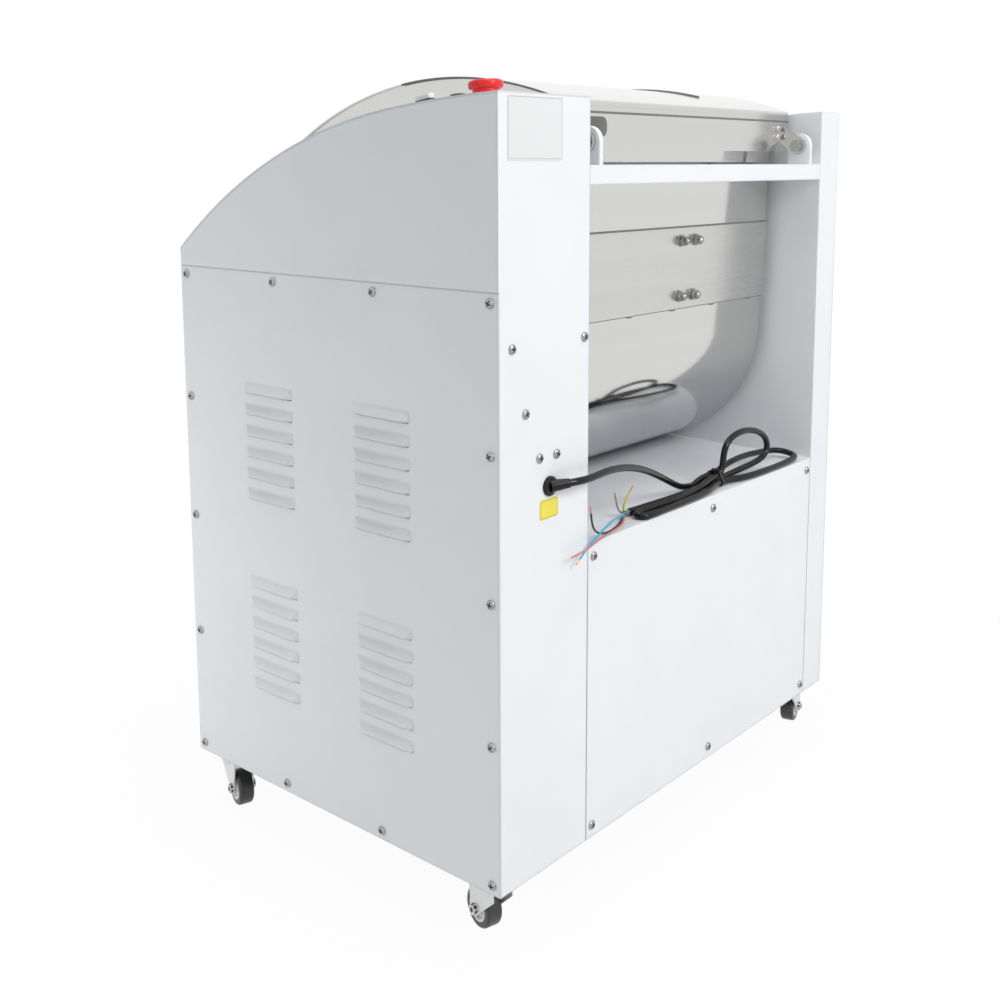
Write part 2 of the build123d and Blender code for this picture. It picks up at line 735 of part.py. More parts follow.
def lid_shell():
    """The lid: one curved sheet with folded flanges, a hem behind, and an end plate set into each end."""
    sheet = slab_x(lid_outline(0, 0), LID_X0, LID_X1) - slab_x(lid_outline(SHEET, 20), LID_X0 - 1, LID_X1 + 1)
    end = lid_outline(SHEET / 2, 0)
    sheet += slab_x(end, LID_X0 + LID_END_INSET, LID_X0 + LID_END_INSET + SHEET)
    sheet += slab_x(end, LID_X1 - LID_END_INSET - SHEET, LID_X1 - LID_END_INSET)
    corner_z = FLOOR + LID_CENTRE_H + math.sqrt(LID_R**2 - (LID_HALF_D - LID_CENTRE_Y) ** 2)
    hem_z = corner_z - LID_BEND
    return sheet + block(LID_X0, LID_X1, LID_HALF_D - SHEET / 2, LID_HALF_D + LID_HEM, hem_z - LID_HEM_T, hem_z)


def lid_handle():
    """Bent bar handle on the lid's front flange."""
    x = (LID_X0 + LID_X1) / 2
    y0 = -LID_HALF_D
    y1 = y0 - LID_HANDLE_OUT
    z = FLOOR + LID_FRONT_H + LID_HANDLE_D / 2 + 2
    w = LID_HANDLE_W / 2
    path = FilletPolyline((x - w, y0, z), (x - w, y1, z), (x + w, y1, z), (x + w, y0, z), radius=LID_HANDLE_D)
    section = Plane((x - w, y0, z), z_dir=(0, -1, 0)) * Circle(LID_HANDLE_D / 2)
    return sweep(section, path)


FLARE = math.radians(FLARE_ANGLE)


def wall_y(z, off=0.0):
    """Half depth of the bowl at height z above its round bottom, off outside its outer face."""
    r = BOWL_R + off
    return r * math.cos(FLARE) + (z - AXIS_Z + r * math.sin(FLARE)) * math.tan(FLARE)


def bowl_outline(inset):
    """The bowl's U section in (Y, Z), inset inside its outer face."""
    r = BOWL_R - inset
    rim = FLOOR + BOWL_RIM_H
    tangent = (r * math.cos(FLARE), AXIS_Z - r * math.sin(FLARE))
    lip = (wall_y(rim, -inset), rim)
    return make_face([
        Line((-lip[0], rim), (-tangent[0], tangent[1])),
        ThreePointArc((-tangent[0], tangent[1]), (0, AXIS_Z - r), tangent),
        Line(tangent, lip),
        Line(lip, (-lip[0], rim)),
    ])


def bowl_shell():
    """The bowl's wrapped sheet, open at the top."""
    trough = slab_x(bowl_outline(0) - bowl_outline(BOWL_T), BOWL_X0 + BOWL_END_T, BOWL_X1 - BOWL_END_T)
    for bolt in doubler_bolt_planes():
        trough -= bolt * post(BOLT_D, -4 * BOWL_T, 4 * BOWL_T)
    return trough


def bowl_ends():
    """The bowl's two end plates."""
    plate = bowl_outline(0) - Pos(0, AXIS_Z) * Circle(BEARING_OD / 2)
    return [slab_x(plate, BOWL_X0, BOWL_X0 + BOWL_END_T), slab_x(plate, BOWL_X1 - BOWL_END_T, BOWL_X1)]


def doubler_bolt_planes():
    """A plane on the bowl's rear wall at each doubler bolt, its normal pointing out."""
    normal = (0, math.cos(FLARE), -math.sin(FLARE))
    return [
        Plane((DOUBLER_BOLT_X + s * DOUBLER_BOLT_STEP / 2, wall_y(FLOOR + h), FLOOR + h), x_dir=(1, 0, 0),
              z_dir=normal)
        for h in (DOUBLER_FOOT_H + DOUBLER_BOLT_EDGE, DOUBLER_TOP_H - DOUBLER_BOLT_EDGE)
        for s in (-1, 1)
    ]


def doubler():
    """The stiffening plate across the bowl's rear wall."""
    z0, z1 = FLOOR + DOUBLER_FOOT_H, FLOOR + DOUBLER_TOP_H
    lean = DOUBLER_T * math.sin(FLARE)
    face = make_face(Polyline(
        (wall_y(z0), z0), (wall_y(z1), z1),
        (wall_y(z1) + DOUBLER_T * math.cos(FLARE), z1 - lean),
        (wall_y(z0) + DOUBLER_T * math.cos(FLARE), z0 - lean),
        (wall_y(z0), z0),
    ))
    plate = slab_x(face, BOWL_X0, BOWL_X1)
    for bolt in doubler_bolt_planes():
        plate -= bolt * post(BOLT_D, -DOUBLER_T, 3 * DOUBLER_T)
    return plate


def doubler_bolts():
    """Bolts through the doubler: low head inside the bowl, washer and dome nut outside."""
    seat = DOUBLER_T
    nut = extrude(Pos(0, 0, seat + WASHER_T) * RegularPolygon(NUT_AF / math.sqrt(3), 6), NUT_H)
    dome = Pos(0, 0, seat + WASHER_T + NUT_H) * Sphere(NUT_AF * 0.42)
    dome -= block(-NUT_AF, NUT_AF, -NUT_AF, NUT_AF, -NUT_AF, seat + WASHER_T + NUT_H)
    head = post(NUT_AF, -BOWL_T - BOLT_D / 2, -BOWL_T)
    head = fillet(head.edges().filter_by(GeomType.CIRCLE).group_by(Axis.Z)[0], BOLT_D / 4)
    bolt = nut + dome + post(WASHER_D, seat, seat + WASHER_T) + post(BOLT_D, -BOWL_T, seat) + head
    return [plane * bolt for plane in doubler_bolt_planes()]


def trunnion(x_bowl, way):
    """A hollow trunnion: flange on the bowl's end, sleeve through the tower's wall."""
    x1 = x_bowl + way * TRUNNION_FLANGE_T
    x2 = x_bowl + way * (BOWL_GAP + SHEET + SLEEVE_OUT)
    hub = bar_x(x_bowl, x1, 0, AXIS_Z, TRUNNION_FLANGE_D) + bar_x(x1, x2, 0, AXIS_Z, SLEEVE_OD)
    return hub - bar_x(x_bowl - way, x2 + way, 0, AXIS_Z, BEARING_OD)


def trunnion_housing(x_wall, way):
    """A flanged housing that carries the trunnion's sleeve on the tower's inner wall."""
    x1 = x_wall + way * HOUSING_T
    x2 = x1 + way * HOUSING_BOSS
    plate = slab_x(Pos(0, AXIS_Z) * RectangleRounded(HOUSING_W, HOUSING_W, 20), min(x_wall, x1), max(x_wall, x1))
    return plate + bar_x(x1, x2, 0, AXIS_Z, HOUSING_BOSS_D) - bar_x(x_wall - way, x2 + way, 0, AXIS_Z,
                                                                   SLEEVE_OD + 2 * RUN)


SLEEVE_X1 = BOWL_X1 + BOWL_GAP + SHEET + SLEEVE_OUT
SLEEVE_X0 = BOWL_X0 - BOWL_GAP - SHEET - SLEEVE_OUT


def shaft_bearings():
    """Bearings of the mixing shaft, one in the outer end of each trunnion."""
    bore = SHAFT_D + 2 * RUN
    outer = BEARING_OD - 2 * FIT
    return [ring_x(SLEEVE_X1 - BEARING_W, SLEEVE_X1, 0, AXIS_Z, outer, bore),
            ring_x(SLEEVE_X0, SLEEVE_X0 + BEARING_W, 0, AXIS_Z, outer, bore)]


def shaft_seals():
    """Lip seals of the mixing shaft in the bowl's ends."""
    bore = SHAFT_D + 2 * RUN
    outer = BEARING_OD - 2 * FIT
    return [ring_x(BOWL_X1 - BOWL_END_T, BOWL_X1 - BOWL_END_T + SEAL_W, 0, AXIS_Z, outer, bore),
            ring_x(BOWL_X0 + BOWL_END_T - SEAL_W, BOWL_X0 + BOWL_END_T, 0, AXIS_Z, outer, bore)]


def mixing_shaft():
    """The mixing shaft, from the idle trunnion to the main gear."""
    shaft = bar_x(SLEEVE_X0 - 4, GEAR_X1 + GEAR_HUB_EXTRA + 2, 0, AXIS_Z, SHAFT_D)
    return chamfer(shaft.edges().filter_by(GeomType.CIRCLE), 2)


def mixing_arms():
    """Two pairs of tapered arms on hubs, joined by two round bars that knead the dough."""
    hubs = (BOWL_X0 + ARM_INSET, BOWL_X1 - ARM_INSET)
    arms = None
    for x in hubs:
        hub = bar_x(x - ARM_HUB_W / 2, x + ARM_HUB_W / 2, 0, AXIS_Z, ARM_HUB_D)
        arms = hub if arms is None else arms + hub
        for turn in (ARM_ANGLE, ARM_ANGLE + 180):
            outline = make_hull((Circle(ARM_ROOT_W / 2).edges() + (Pos(BAR_R, 0) * Circle(BAR_D / 2)).edges()))
            arms += slab_x(Pos(0, AXIS_Z) * Rot(0, 0, turn) * outline, x - ARM_T / 2, x + ARM_T / 2)
    for turn in (ARM_ANGLE, ARM_ANGLE + 180):
        y = BAR_R * math.cos(math.radians(turn))
        z = AXIS_Z + BAR_R * math.sin(math.radians(turn))
        end = BOWL_END_T + BAR_END_GAP
        arms += bar_x(BOWL_X0 + end, BOWL_X1 - end, y, z, BAR_D)
    return arms - bar_x(BOWL_X0, BOWL_X1, 0, AXIS_Z, SHAFT_D + 2 * FIT)


def gear_outline(teeth):
    """Involute spur gear outline about the origin, with a tooth centred on the X axis."""
    angle = math.radians(PRESSURE_ANGLE)
    pitch = MODULE * teeth / 2
    base = pitch * math.cos(angle)
    tip = pitch + MODULE
    root = pitch - 1.25 * MODULE
    half = math.pi / (2 * teeth) - BACKLASH / (4 * pitch) + math.tan(angle) - angle

    def flank(r):
        a = math.acos(min(1.0, base / r))
        return half - (math.tan(a) - a)

    low = max(root, base)
    radii = (low, (low + tip) / 2, tip)
    edges = []
    step = 2 * math.pi / teeth

    def at(r, turn):
        return (r * math.cos(turn), r * math.sin(turn))

    for i in range(teeth):
        c = i * step
        rise = [at(r, c - flank(r)) for r in radii]
        fall = [at(r, c + flank(r)) for r in reversed(radii)]
        gap0 = at(root, c - flank(low))
        gap1 = at(root, c + flank(low))
        if low > root + 0.01:
            edges.append(Line(gap0, rise[0]))
        edges.append(ThreePointArc(*rise))
        edges.append(Line(rise[-1], fall[0]))
        edges.append(ThreePointArc(*fall))
        if low > root + 0.01:
            edges.append(Line(fall[-1], gap1))
        edges.append(Line(gap1 if low > root + 0.01 else fall[-1],
                          at(root, c + step - flank(low)) if low > root + 0.01 else at(low, c + step - flank(low))))
    return make_face(edges)


def main_gear():
    """The large spur gear on the mixing shaft, with a dished web."""
    rim = slab_x(Pos(0, AXIS_Z) * Rot(0, 0, PINION_ANGLE) * gear_outline(GEAR_TEETH), GEAR_X0, GEAR_X1)
    root_d = MODULE * (GEAR_TEETH - 2.5)
    middle = (GEAR_X0 + GEAR_X1) / 2
    for x0, x1 in ((GEAR_X0, middle - GEAR_WEB_T / 2), (middle + GEAR_WEB_T / 2, GEAR_X1)):
        rim -= ring_x(x0, x1, 0, AXIS_Z, root_d - 2 * GEAR_RIM, GEAR_HUB_D)
    rim += bar_x(GEAR_X0 - GEAR_HUB_EXTRA, GEAR_X1 + GEAR_HUB_EXTRA, 0, AXIS_Z, GEAR_HUB_D)
    return rim - bar_x(GEAR_X0 - 20, GEAR_X1 + 20, 0, AXIS_Z, SHAFT_D + 2 * FIT)


def pinion_shaft():
    """The layshaft with its pinion cut from the solid."""
    half_step = 180 / PINION_TEETH
    x0, x1 = GEAR_X0 - PINION_EXTRA, GEAR_X1 + PINION_EXTRA
    teeth = slab_x(Pos(LAY_Y, LAY_Z) * Rot(0, 0, PINION_ANGLE + 180 + half_step) * gear_outline(PINION_TEETH), x0, x1)
    shaft = bar_x(WALL_X + FIT, PULLEY_X1 + 2, LAY_Y, LAY_Z, LAYSHAFT_D)
    return teeth + chamfer(shaft.edges().filter_by(GeomType.CIRCLE), 1.5)


def layshaft_bracket():
    """Welded bracket on the tower's wall that carries the layshaft's outer bearing."""
    z0 = LAY_Z - LAY_BRACKET_DROP
    half = LAY_BRACKET_W / 2
    foot = make_face(Polyline((LAY_Y - half, z0), (LAY_Y + half, z0), (LAY_Y + half, LAY_Z), (LAY_Y - half, LAY_Z),
                              (LAY_Y - half, z0)))
    plate = slab_x(foot + Pos(LAY_Y, LAY_Z) * Circle(half), BRACKET_X0, BRACKET_X1)
    plate += block(WALL_X, BRACKET_X0, LAY_Y - half, LAY_Y + half, z0, z0 + LAY_BRACKET_FOOT_T)
    return plate - bar_x(BRACKET_X0 - 1, BRACKET_X1 + 1, LAY_Y, LAY_Z, LAY_BEARING_OD)


def layshaft_bearings():
    """The layshaft's bearings: a flanged one on the wall, a plain one in the bracket."""
    bore = LAYSHAFT_D + 2 * RUN
    inner = bar_x(WALL_X, WALL_X + LAY_FLANGE_T, LAY_Y, LAY_Z, LAY_FLANGE_D)
    inner += bar_x(WALL_X + LAY_FLANGE_T, WALL_X + LAY_BEARING_W, LAY_Y, LAY_Z, LAY_BEARING_OD)
    inner -= bar_x(WALL_X - 1, WALL_X + LAY_BEARING_W + 1, LAY_Y, LAY_Z, bore)
    return [inner, ring_x(BRACKET_X0, BRACKET_X1, LAY_Y, LAY_Z, LAY_BEARING_OD - 2 * FIT, bore)]


def groove_places():
    """X of the middle of each belt."""
    middle = (PULLEY_X0 + PULLEY_X1) / 2
    return [middle + GROOVE_STEP * (i - (BELTS - 1) / 2) for i in range(BELTS)]


def belt_section(grow):
    """V-belt section about its top middle, as (x, out) points, grown on all sides for a groove."""
    slope = math.tan(math.radians(BELT_ANGLE))
    top = BELT_W / 2 + grow / math.cos(math.radians(BELT_ANGLE))
    rise = BELT_SINK + 1 if grow else 0
    foot = top - (BELT_T + grow) * slope
    return [(-top - rise * slope, rise), (top + rise * slope, rise), (foot, -BELT_T - grow), (-foot, -BELT_T - grow)]


def pulley(d, y, z, bore_d, web):
    """A V-belt pulley about an axis along X."""
    r = d / 2
    wheel = bar_x(PULLEY_X0, PULLEY_X1, y, z, d)
    for x in groove_places():
        points = [(x + a, r - BELT_SINK + b) for a, b in belt_section(BELT_CLEAR)]
        ring = make_face(Polyline(*points, points[0]))
        wheel -= Pos(0, y, z) * revolve(ring, Axis.X)
    if web:
        inner = d - 2 * (BELT_T + BELT_SINK + PULLEY_RIM)
        middle = (PULLEY_X0 + PULLEY_X1) / 2
        for x0, x1 in ((PULLEY_X0, middle - PULLEY_WEB_T / 2), (middle + PULLEY_WEB_T / 2, PULLEY_X1)):
            wheel -= ring_x(x0, x1, y, z, inner, PULLEY_HUB_D)
    return wheel - bar_x(PULLEY_X0 - 1, PULLEY_X1 + 1, y, z, bore_d + 2 * FIT)


def belts():
    """The V-belts, each round both pulleys."""
    r1 = PULLEY_D / 2 - BELT_SINK
    r2 = MOTOR_PULLEY_D / 2 - BELT_SINK
    dy, dz = MOTOR_Y - LAY_Y, MOTOR_Z - LAY_Z
    span = math.hypot(dy, dz)
    along = math.atan2(dz, dy)
    spread = math.acos((r1 - r2) / span)

    def at(cy, cz, r, turn):
        return (0, cy + r * math.cos(turn), cz + r * math.sin(turn))

    solids = []
    for x in groove_places():
        a = at(LAY_Y, LAY_Z, r1, along + spread)
        b = at(MOTOR_Y, MOTOR_Z, r2, along + spread)
        c = at(MOTOR_Y, MOTOR_Z, r2, along - spread)
        d = at(LAY_Y, LAY_Z, r1, along - spread)
        loop = Wire([
            Line(a, b).edge(),
            ThreePointArc(b, at(MOTOR_Y, MOTOR_Z, r2, along), c).edge(),
            Line(c, d).edge(),
            ThreePointArc(d, at(LAY_Y, LAY_Z, r1, along + math.pi), a).edge(),
        ])
        outward = Vector(0, math.cos(along + spread), math.sin(along + spread))
        points = [Vector(*a) + Vector(u, 0, 0) + outward * v for u, v in belt_section(0)]
        section = make_face(Polyline(*points, points[0]))
        solids.append(Pos(x, 0, 0) * sweep(section, loop))
    return solids


def motor_body():
    """Foot-mounted motor with cooling fins, fan cowl and terminal box."""
    y, z = MOTOR_Y, MOTOR_Z
    fin_x0 = MOTOR_X0 + MOTOR_COWL_L
    core = MOTOR_D - 2 * MOTOR_FIN_OUT
    body = bar_x(fin_x0, MOTOR_X1, y, z, core)
    for i in range(MOTOR_FINS):
        turn = 360 * i / MOTOR_FINS
        fin = block(fin_x0 + 8, MOTOR_X1 - 20, core / 2 - 3, MOTOR_D / 2, -MOTOR_FIN_T / 2, MOTOR_FIN_T / 2)
        body += Pos(0, y, z) * Rot(turn, 0, 0) * fin
    cowl = bar_x(MOTOR_X0, fin_x0 + 4, y, z, MOTOR_D)
    body += fillet(cowl.edges().filter_by(GeomType.CIRCLE).group_by(Axis.X)[0], 12)
    foot_z = z - MOTOR_AXIS_UP
    for x in motor_foot_places():
        x0, x1 = x - MOTOR_FOOT_L / 2, x + MOTOR_FOOT_L / 2
        body += block(x0, x1, y - MOTOR_FOOT_W / 2, y + MOTOR_FOOT_W / 2, foot_z, foot_z + MOTOR_FOOT_T)
        body += block(x0, x1, y - MOTOR_D * 0.34, y + MOTOR_D * 0.34, foot_z, z)
    length, depth, height = MOTOR_BOX
    middle = (fin_x0 + MOTOR_X1) / 2
    body += block(middle - length / 2, middle + length / 2, y - depth / 2, y + depth / 2, z, z + MOTOR_D / 2 + height)
    return body - bar_x(MOTOR_X1 - MOTOR_L / 2, MOTOR_X1 + 1, y, z, MOTOR_SHAFT_D + 2 * RUN)


def motor_shaft():
    """The motor's shaft, from its bore to the pulley."""
    return bar_x(MOTOR_X1 - MOTOR_L / 2 + 1, PULLEY_X1 + 2, MOTOR_Y, MOTOR_Z, MOTOR_SHAFT_D)


def control_box():
    """Control box and the cable's clamp, screwed to the drive tower's back."""
    y1 = REAR - SHEET
    x_mid = (DRIVE_X + SIDE) / 2
    box = block(x_mid - BOX_W / 2, x_mid + BOX_W / 2, y1 - BOX_D, y1, FLOOR + BOX_FOOT_H, FLOOR + BOX_FOOT_H + BOX_H)
    box = fillet(box.edges().filter_by(Axis.Z).group_by(Axis.Y)[0], 6)
    places = back_screw_places()
    clamp_x = (places[3][0] + places[4][0]) / 2
    clamp_z = places[3][1]
    clamp = block(clamp_x - CLAMP_W / 2, clamp_x + CLAMP_W / 2, y1 - CLAMP_D, y1, clamp_z - CLAMP_H / 2,
                  clamp_z + CLAMP_H / 2)
    solids = []
    for solid in (box, clamp):
        for x, z in places:
            solid -= screw_hole(x, REAR, z, (0, 1, 0))
        solids.append(solid)
    return solids


def stop_buffers():
    """Rubber buffers on the beam's front that the upright bowl leans on."""
    x_mid = (BOWL_X0 + BOWL_X1) / 2
    z = FLOOR + BEAM_H + BEAM_T / 2
    y0 = REAR - BEAM_D
    y1 = wall_y(z + BUFFER_D / 2) + 0.3
    solids = []
    for s in (-1, 1):
        pad = Pos(x_mid + s * BUFFER_SPAN / 2, (y0 + y1) / 2, z) * Rot(90, 0, 0) * Cylinder(BUFFER_D / 2, y0 - y1)
        solids.append(pad)
    return solids


FORK_TOP = PAD_FOOT - CASTOR_PLATE_T - CASTOR_RACE_H - SWIVEL_GAP


def castor_plate():
    """A castor's top plate, ball race and kingpin."""
    plate = extrude(RectangleRounded(CASTOR_PLATE_X, CASTOR_PLATE_Y, 6), CASTOR_PLATE_T)
    plate_foot = PAD_FOOT - CASTOR_PLATE_T
    plate = Pos(0, 0, plate_foot) * plate
    plate += post(CASTOR_RACE_D, FORK_TOP + SWIVEL_GAP, plate_foot)
    pin_foot = FORK_TOP - FORK_T - SWIVEL_GAP
    plate += post(KINGPIN_D, pin_foot, plate_foot)
    return plate + post(KINGPIN_HEAD_D, pin_foot - KINGPIN_HEAD, pin_foot)


FORK_IN = HUB_W / 2 + FORK_GAP


def castor_fork():
    """A pressed fork: crown with a turned-down lip, two cheeks that taper to the axle, and the axle bolt."""
    crown_r = CASTOR_RACE_D / 2 - 1
    wheel_z = WHEEL_D / 2
    low = WHEEL_D + 2.0
    front = crown_r + CROWN_OUT
    cheek_face = make_hull(
        (Pos(CASTOR_TRAIL, wheel_z) * Circle(AXLE_D)).edges()
        + make_face(Polyline((-crown_r, FORK_TOP), (front, FORK_TOP), (front, FORK_TOP - CROWN_LIP), (-crown_r, low),
                             (-crown_r, FORK_TOP))).edges()
    )
    fork = post(2 * crown_r, low + 6, FORK_TOP)
    fork += block(-crown_r, front, -FORK_IN - FORK_T, FORK_IN + FORK_T, FORK_TOP - FORK_T, FORK_TOP)
    for s in (-1, 1):
        y0 = s * FORK_IN
        cheek_plate = extrude(Plane.XZ * cheek_face, -FORK_T)
        fork += Pos(0, y0 if s > 0 else y0 - FORK_T, 0) * cheek_plate
    over = block(-crown_r * 2, crown_r * 4, -FORK_IN, FORK_IN, 0, FORK_TOP - FORK_T)
    fork -= over
    fork += block(front - FORK_T, front, -FORK_IN - FORK_T, FORK_IN + FORK_T, FORK_TOP - CROWN_LIP, FORK_TOP)
    fork -= post(KINGPIN_D + 2 * RUN, low, FORK_TOP + 1)
    reach = FORK_IN + FORK_T + AXLE_D / 2
    axle = Pos(CASTOR_TRAIL, 0, wheel_z) * Rot(90, 0, 0) * Cylinder(AXLE_D / 2, 2 * reach)
    for s in (-1, 1):
        cap = Pos(CASTOR_TRAIL, s * (FORK_IN + FORK_T + AXLE_D / 4), wheel_z) * Rot(90, 0, 0)
        axle += cap * Cylinder(AXLE_D * 0.75, AXLE_D / 2)
    return fork + axle


def castor_hub():
    """A castor wheel's pale core."""
    hub = Cylinder(HUB_D / 2, WHEEL_W) + Cylinder(AXLE_D, HUB_W)
    dish = (WHEEL_W - 13) / 2
    for s in (-1, 1):
        groove = Cylinder(HUB_D / 2 - 3, dish) - Cylinder(AXLE_D, dish)
        hub -= Pos(0, 0, s * (WHEEL_W - dish) / 2) * groove
    hub -= Cylinder(AXLE_D / 2 + RUN, HUB_W + 2)
    return Pos(CASTOR_TRAIL, 0, WHEEL_D / 2) * Rot(90, 0, 0) * hub


def castor_tyre():
    """A castor wheel's black tread, crowned at its edges."""
    tyre = Cylinder(WHEEL_D / 2, WHEEL_W)
    tyre = fillet(tyre.edges().filter_by(GeomType.CIRCLE), 4)
    tyre -= Cylinder(HUB_D / 2 + FIT, WHEEL_W + 2)
    return Pos(CASTOR_TRAIL, 0, WHEEL_D / 2) * Rot(90, 0, 0) * tyre


def route_radii(points):
    """A radius for each corner of a route, as large as its two runs allow."""
    radii = []
    for a, b, c in zip(points, points[1:], points[2:]):
        before, after = Vector(b) - Vector(a), Vector(c) - Vector(b)
        turn = math.radians(before.get_angle(after))
        radii.append(0.45 * min(before.length, after.length) / math.tan(turn / 2))
    return radii


def tube(points, d):
    """A round tube along a route of straight runs and tangent arcs; returns it and its path."""
    path = FilletPolyline(*points, radius=route_radii(points))
    start = Plane(path @ 0, z_dir=path % 0)
    return sweep(start * Circle(d / 2), path), path


REST = TRAY + CABLE_D / 2 + CABLE_LIFT
SPOUT = Vector(-0.80, 0.59, 0.10).normalized()
SPOUT_FOOT = Vector(GROMMET_X, REAR + GROMMET_LIP * 0.5, FLOOR + GROMMET_H)
CABLE_EXIT = SPOUT_FOOT + SPOUT * SPOUT_L



def route_x(x):
    """X of a route's point, drawn on the nominal tray."""
    return DRIVE_X - (ROUTE_X1 - x) * (DRIVE_X - IDLE_X) / ROUTE_W


WAIST_X = route_x(-96.0)
WAIST_Y = REAR - 26.5

# Strand places at the hank's waist, packed two on two: y, then z of the lower and upper pair
LOW_FAR = WAIST_Y
LOW_NEAR = WAIST_Y + STRAND_STEP
TOP_FAR = WAIST_Y - STRAND_STEP / 2
TOP_NEAR = WAIST_Y + STRAND_STEP / 2
LOW = REST + TIE_T + TIE_SLACK
TOP = LOW + STRAND_STEP * math.sqrt(0.75)


def on_tray(x, y, up=0.0):
    """A point of the cable's route, up above where it rests on the tray."""
    return Vector(route_x(x), y - ROUTE_REAR + REAR, REST + up)


# The free stretch, from the grommet's spout down to the hank
FREE_ROUTE = [
    CABLE_EXIT,
    CABLE_EXIT + SPOUT * 18,
    on_tray(251, 304.5, 82.3),
    on_tray(221, 300.5, 82.6),
    on_tray(188, 295, 80.2),
    on_tray(152, 288.5, 73.5),
    on_tray(115, 281, 63),
    on_tray(78.5, 273, 49.5),
    on_tray(40, 264.5, 33),
    on_tray(4, 256.5, 17),
    on_tray(-22, 251.3, 6.6),
    on_tray(-44, 248.6, 2.2),
]


def turn_points(centre, along, across, length, width, first, last, corners):
    """Corners of a route drawn round an oval: half sizes along two directions, angles in degrees."""
    step = math.radians((last - first) / (corners - 1))
    grow = 1 / math.cos(step / 2)
    points = []
    for i in range(corners):
        turn = math.radians(first) + step * i
        points.append(centre + along * (length * grow * math.cos(turn)) + across * (width * grow * math.sin(turn)))
    return points


def hank_route():
    """The hank, one unbroken line: a lying loop, a fold, a standing loop, and the stripped end."""
    lean = Vector(0, 21.5, -3.2).normalized()
    lying = turn_points(on_tray(-284, 259.8, 3.8), Vector(-1, 0, 0), lean, 22, 21.5, -60, 60, 4)
    fold = turn_points(on_tray(98, 274.6), Vector(1, 0, 0), Vector(0, -1, 0), 10.6, 10.4, -60, 60, 3)
    rise = Vector(1, 0, 0.1).normalized()
    standing = turn_points(on_tray(-170, 266, 35), rise, Vector(0, 0, 1), 60, 27, 10, 222, 7)
    end = FREE_ROUTE[-1]
    return [
        end,
        end + (end - FREE_ROUTE[-2]).normalized() * 14,
        Vector(WAIST_X + 22, TOP_FAR - 4.4, TOP - 3.6),
        Vector(WAIST_X + 10, TOP_FAR - 0.2, TOP),
        Vector(WAIST_X - 12, TOP_FAR, TOP + 0.1),
        on_tray(-143, 246, 12.5),
        on_tray(-190, 238.8, 13),
        on_tray(-240, 236, 11),
        *lying,
        on_tray(-250, 281.6),
        on_tray(-200, 282, 0.02),
        on_tray(-150, 279),
        Vector(WAIST_X - 14, LOW_NEAR, LOW),
        Vector(WAIST_X + 14, LOW_NEAR + 0.2, LOW),
        on_tray(-48, 279.2),
        on_tray(6, 283, 0.02),
        on_tray(54, 284),
        *fold,
        on_tray(54, 267.6, 0.02),
        on_tray(6, 271.2),
        on_tray(-44, 269.6, 5),
        Vector(WAIST_X + 16, TOP_NEAR + 0.2, TOP),
        Vector(WAIST_X - 12.5, TOP_NEAR, TOP + 0.05),
        *standing,
        on_tray(-164, 261.5, 6.2),
        Vector(WAIST_X - 14, LOW_FAR, LOW + 0.1),
        Vector(WAIST_X + 14, LOW_FAR + 0.02, LOW),
        on_tray(-44, 260.2),
        on_tray(8, 260.9, 0.02),
        on_tray(58, 256.8),
        on_tray(104, 253.8, 0.02),
    ]


HANK = hank_route()
SHEATH_END = HANK[-1]
CORE_WAY = (HANK[-1] - HANK[-2]).normalized()


def least_gap(path, d):
    """Least clear distance of a looped tube from itself, measured on points along its path."""
    count = 900
    step = path.length / count
    points = [path @ (i / count) for i in range(count + 1)]
    skip = int(3.2 * d / step)
    least = 1e9
    for i, p in enumerate(points):
        for q in points[i + skip:]:
            least = min(least, (p - q).length)
    return least - d


def core_routes():
    """The five bare cores: three long ones that hang past the tray's edge, two short ones that stand up."""
    side = Vector(0, 0, 1).cross(CORE_WAY).normalized()
    seats = []
    for i in range(5):
        turn = math.radians(CORE_ANGLE - 72 * i)
        seats.append(SHEATH_END + side * (CORE_RING * math.cos(turn)) + Vector(0, 0, CORE_RING * math.sin(turn)))
    shapes = (
        [(122, 260, 3.5), (135, 269, 5), (153, 277, 9), (176, 285, 13), (199, 290, 10), (221, 292.5, 3), (241, 293.5, -5),
         (256, 293.5, -16)],
        [(122, 260, -1.2), (136, 270, -1.4), (155, 279, -1), (178, 286.5, 0), (202, 291.5, 0.5), (226, 295, -1.5),
         (250, 297.5, -6), (270, 298, -7)],
        [(121, 256, -3.1), (134, 264.5, -3.3), (154, 273, -3.4), (177, 279.5, -3.2), (199, 282.5, -1), (213, 282.5, 6),
         (218, 282, 17), (219, 281.5, 29)],
        [(118, 251, 2.5), (125, 252.2, 10), (130, 254, 19), (135.5, 256.2, 27.5)],
        [(115.5, 254.5, 6), (117, 256.5, 13), (113, 258, 21), (107, 259, 29)],
    )
    routes = []
    for seat, shape in zip(seats, shapes):
        routes.append([seat, seat + CORE_WAY * 8] + [on_tray(x, y, h) for x, y, h in shape])
    return routes


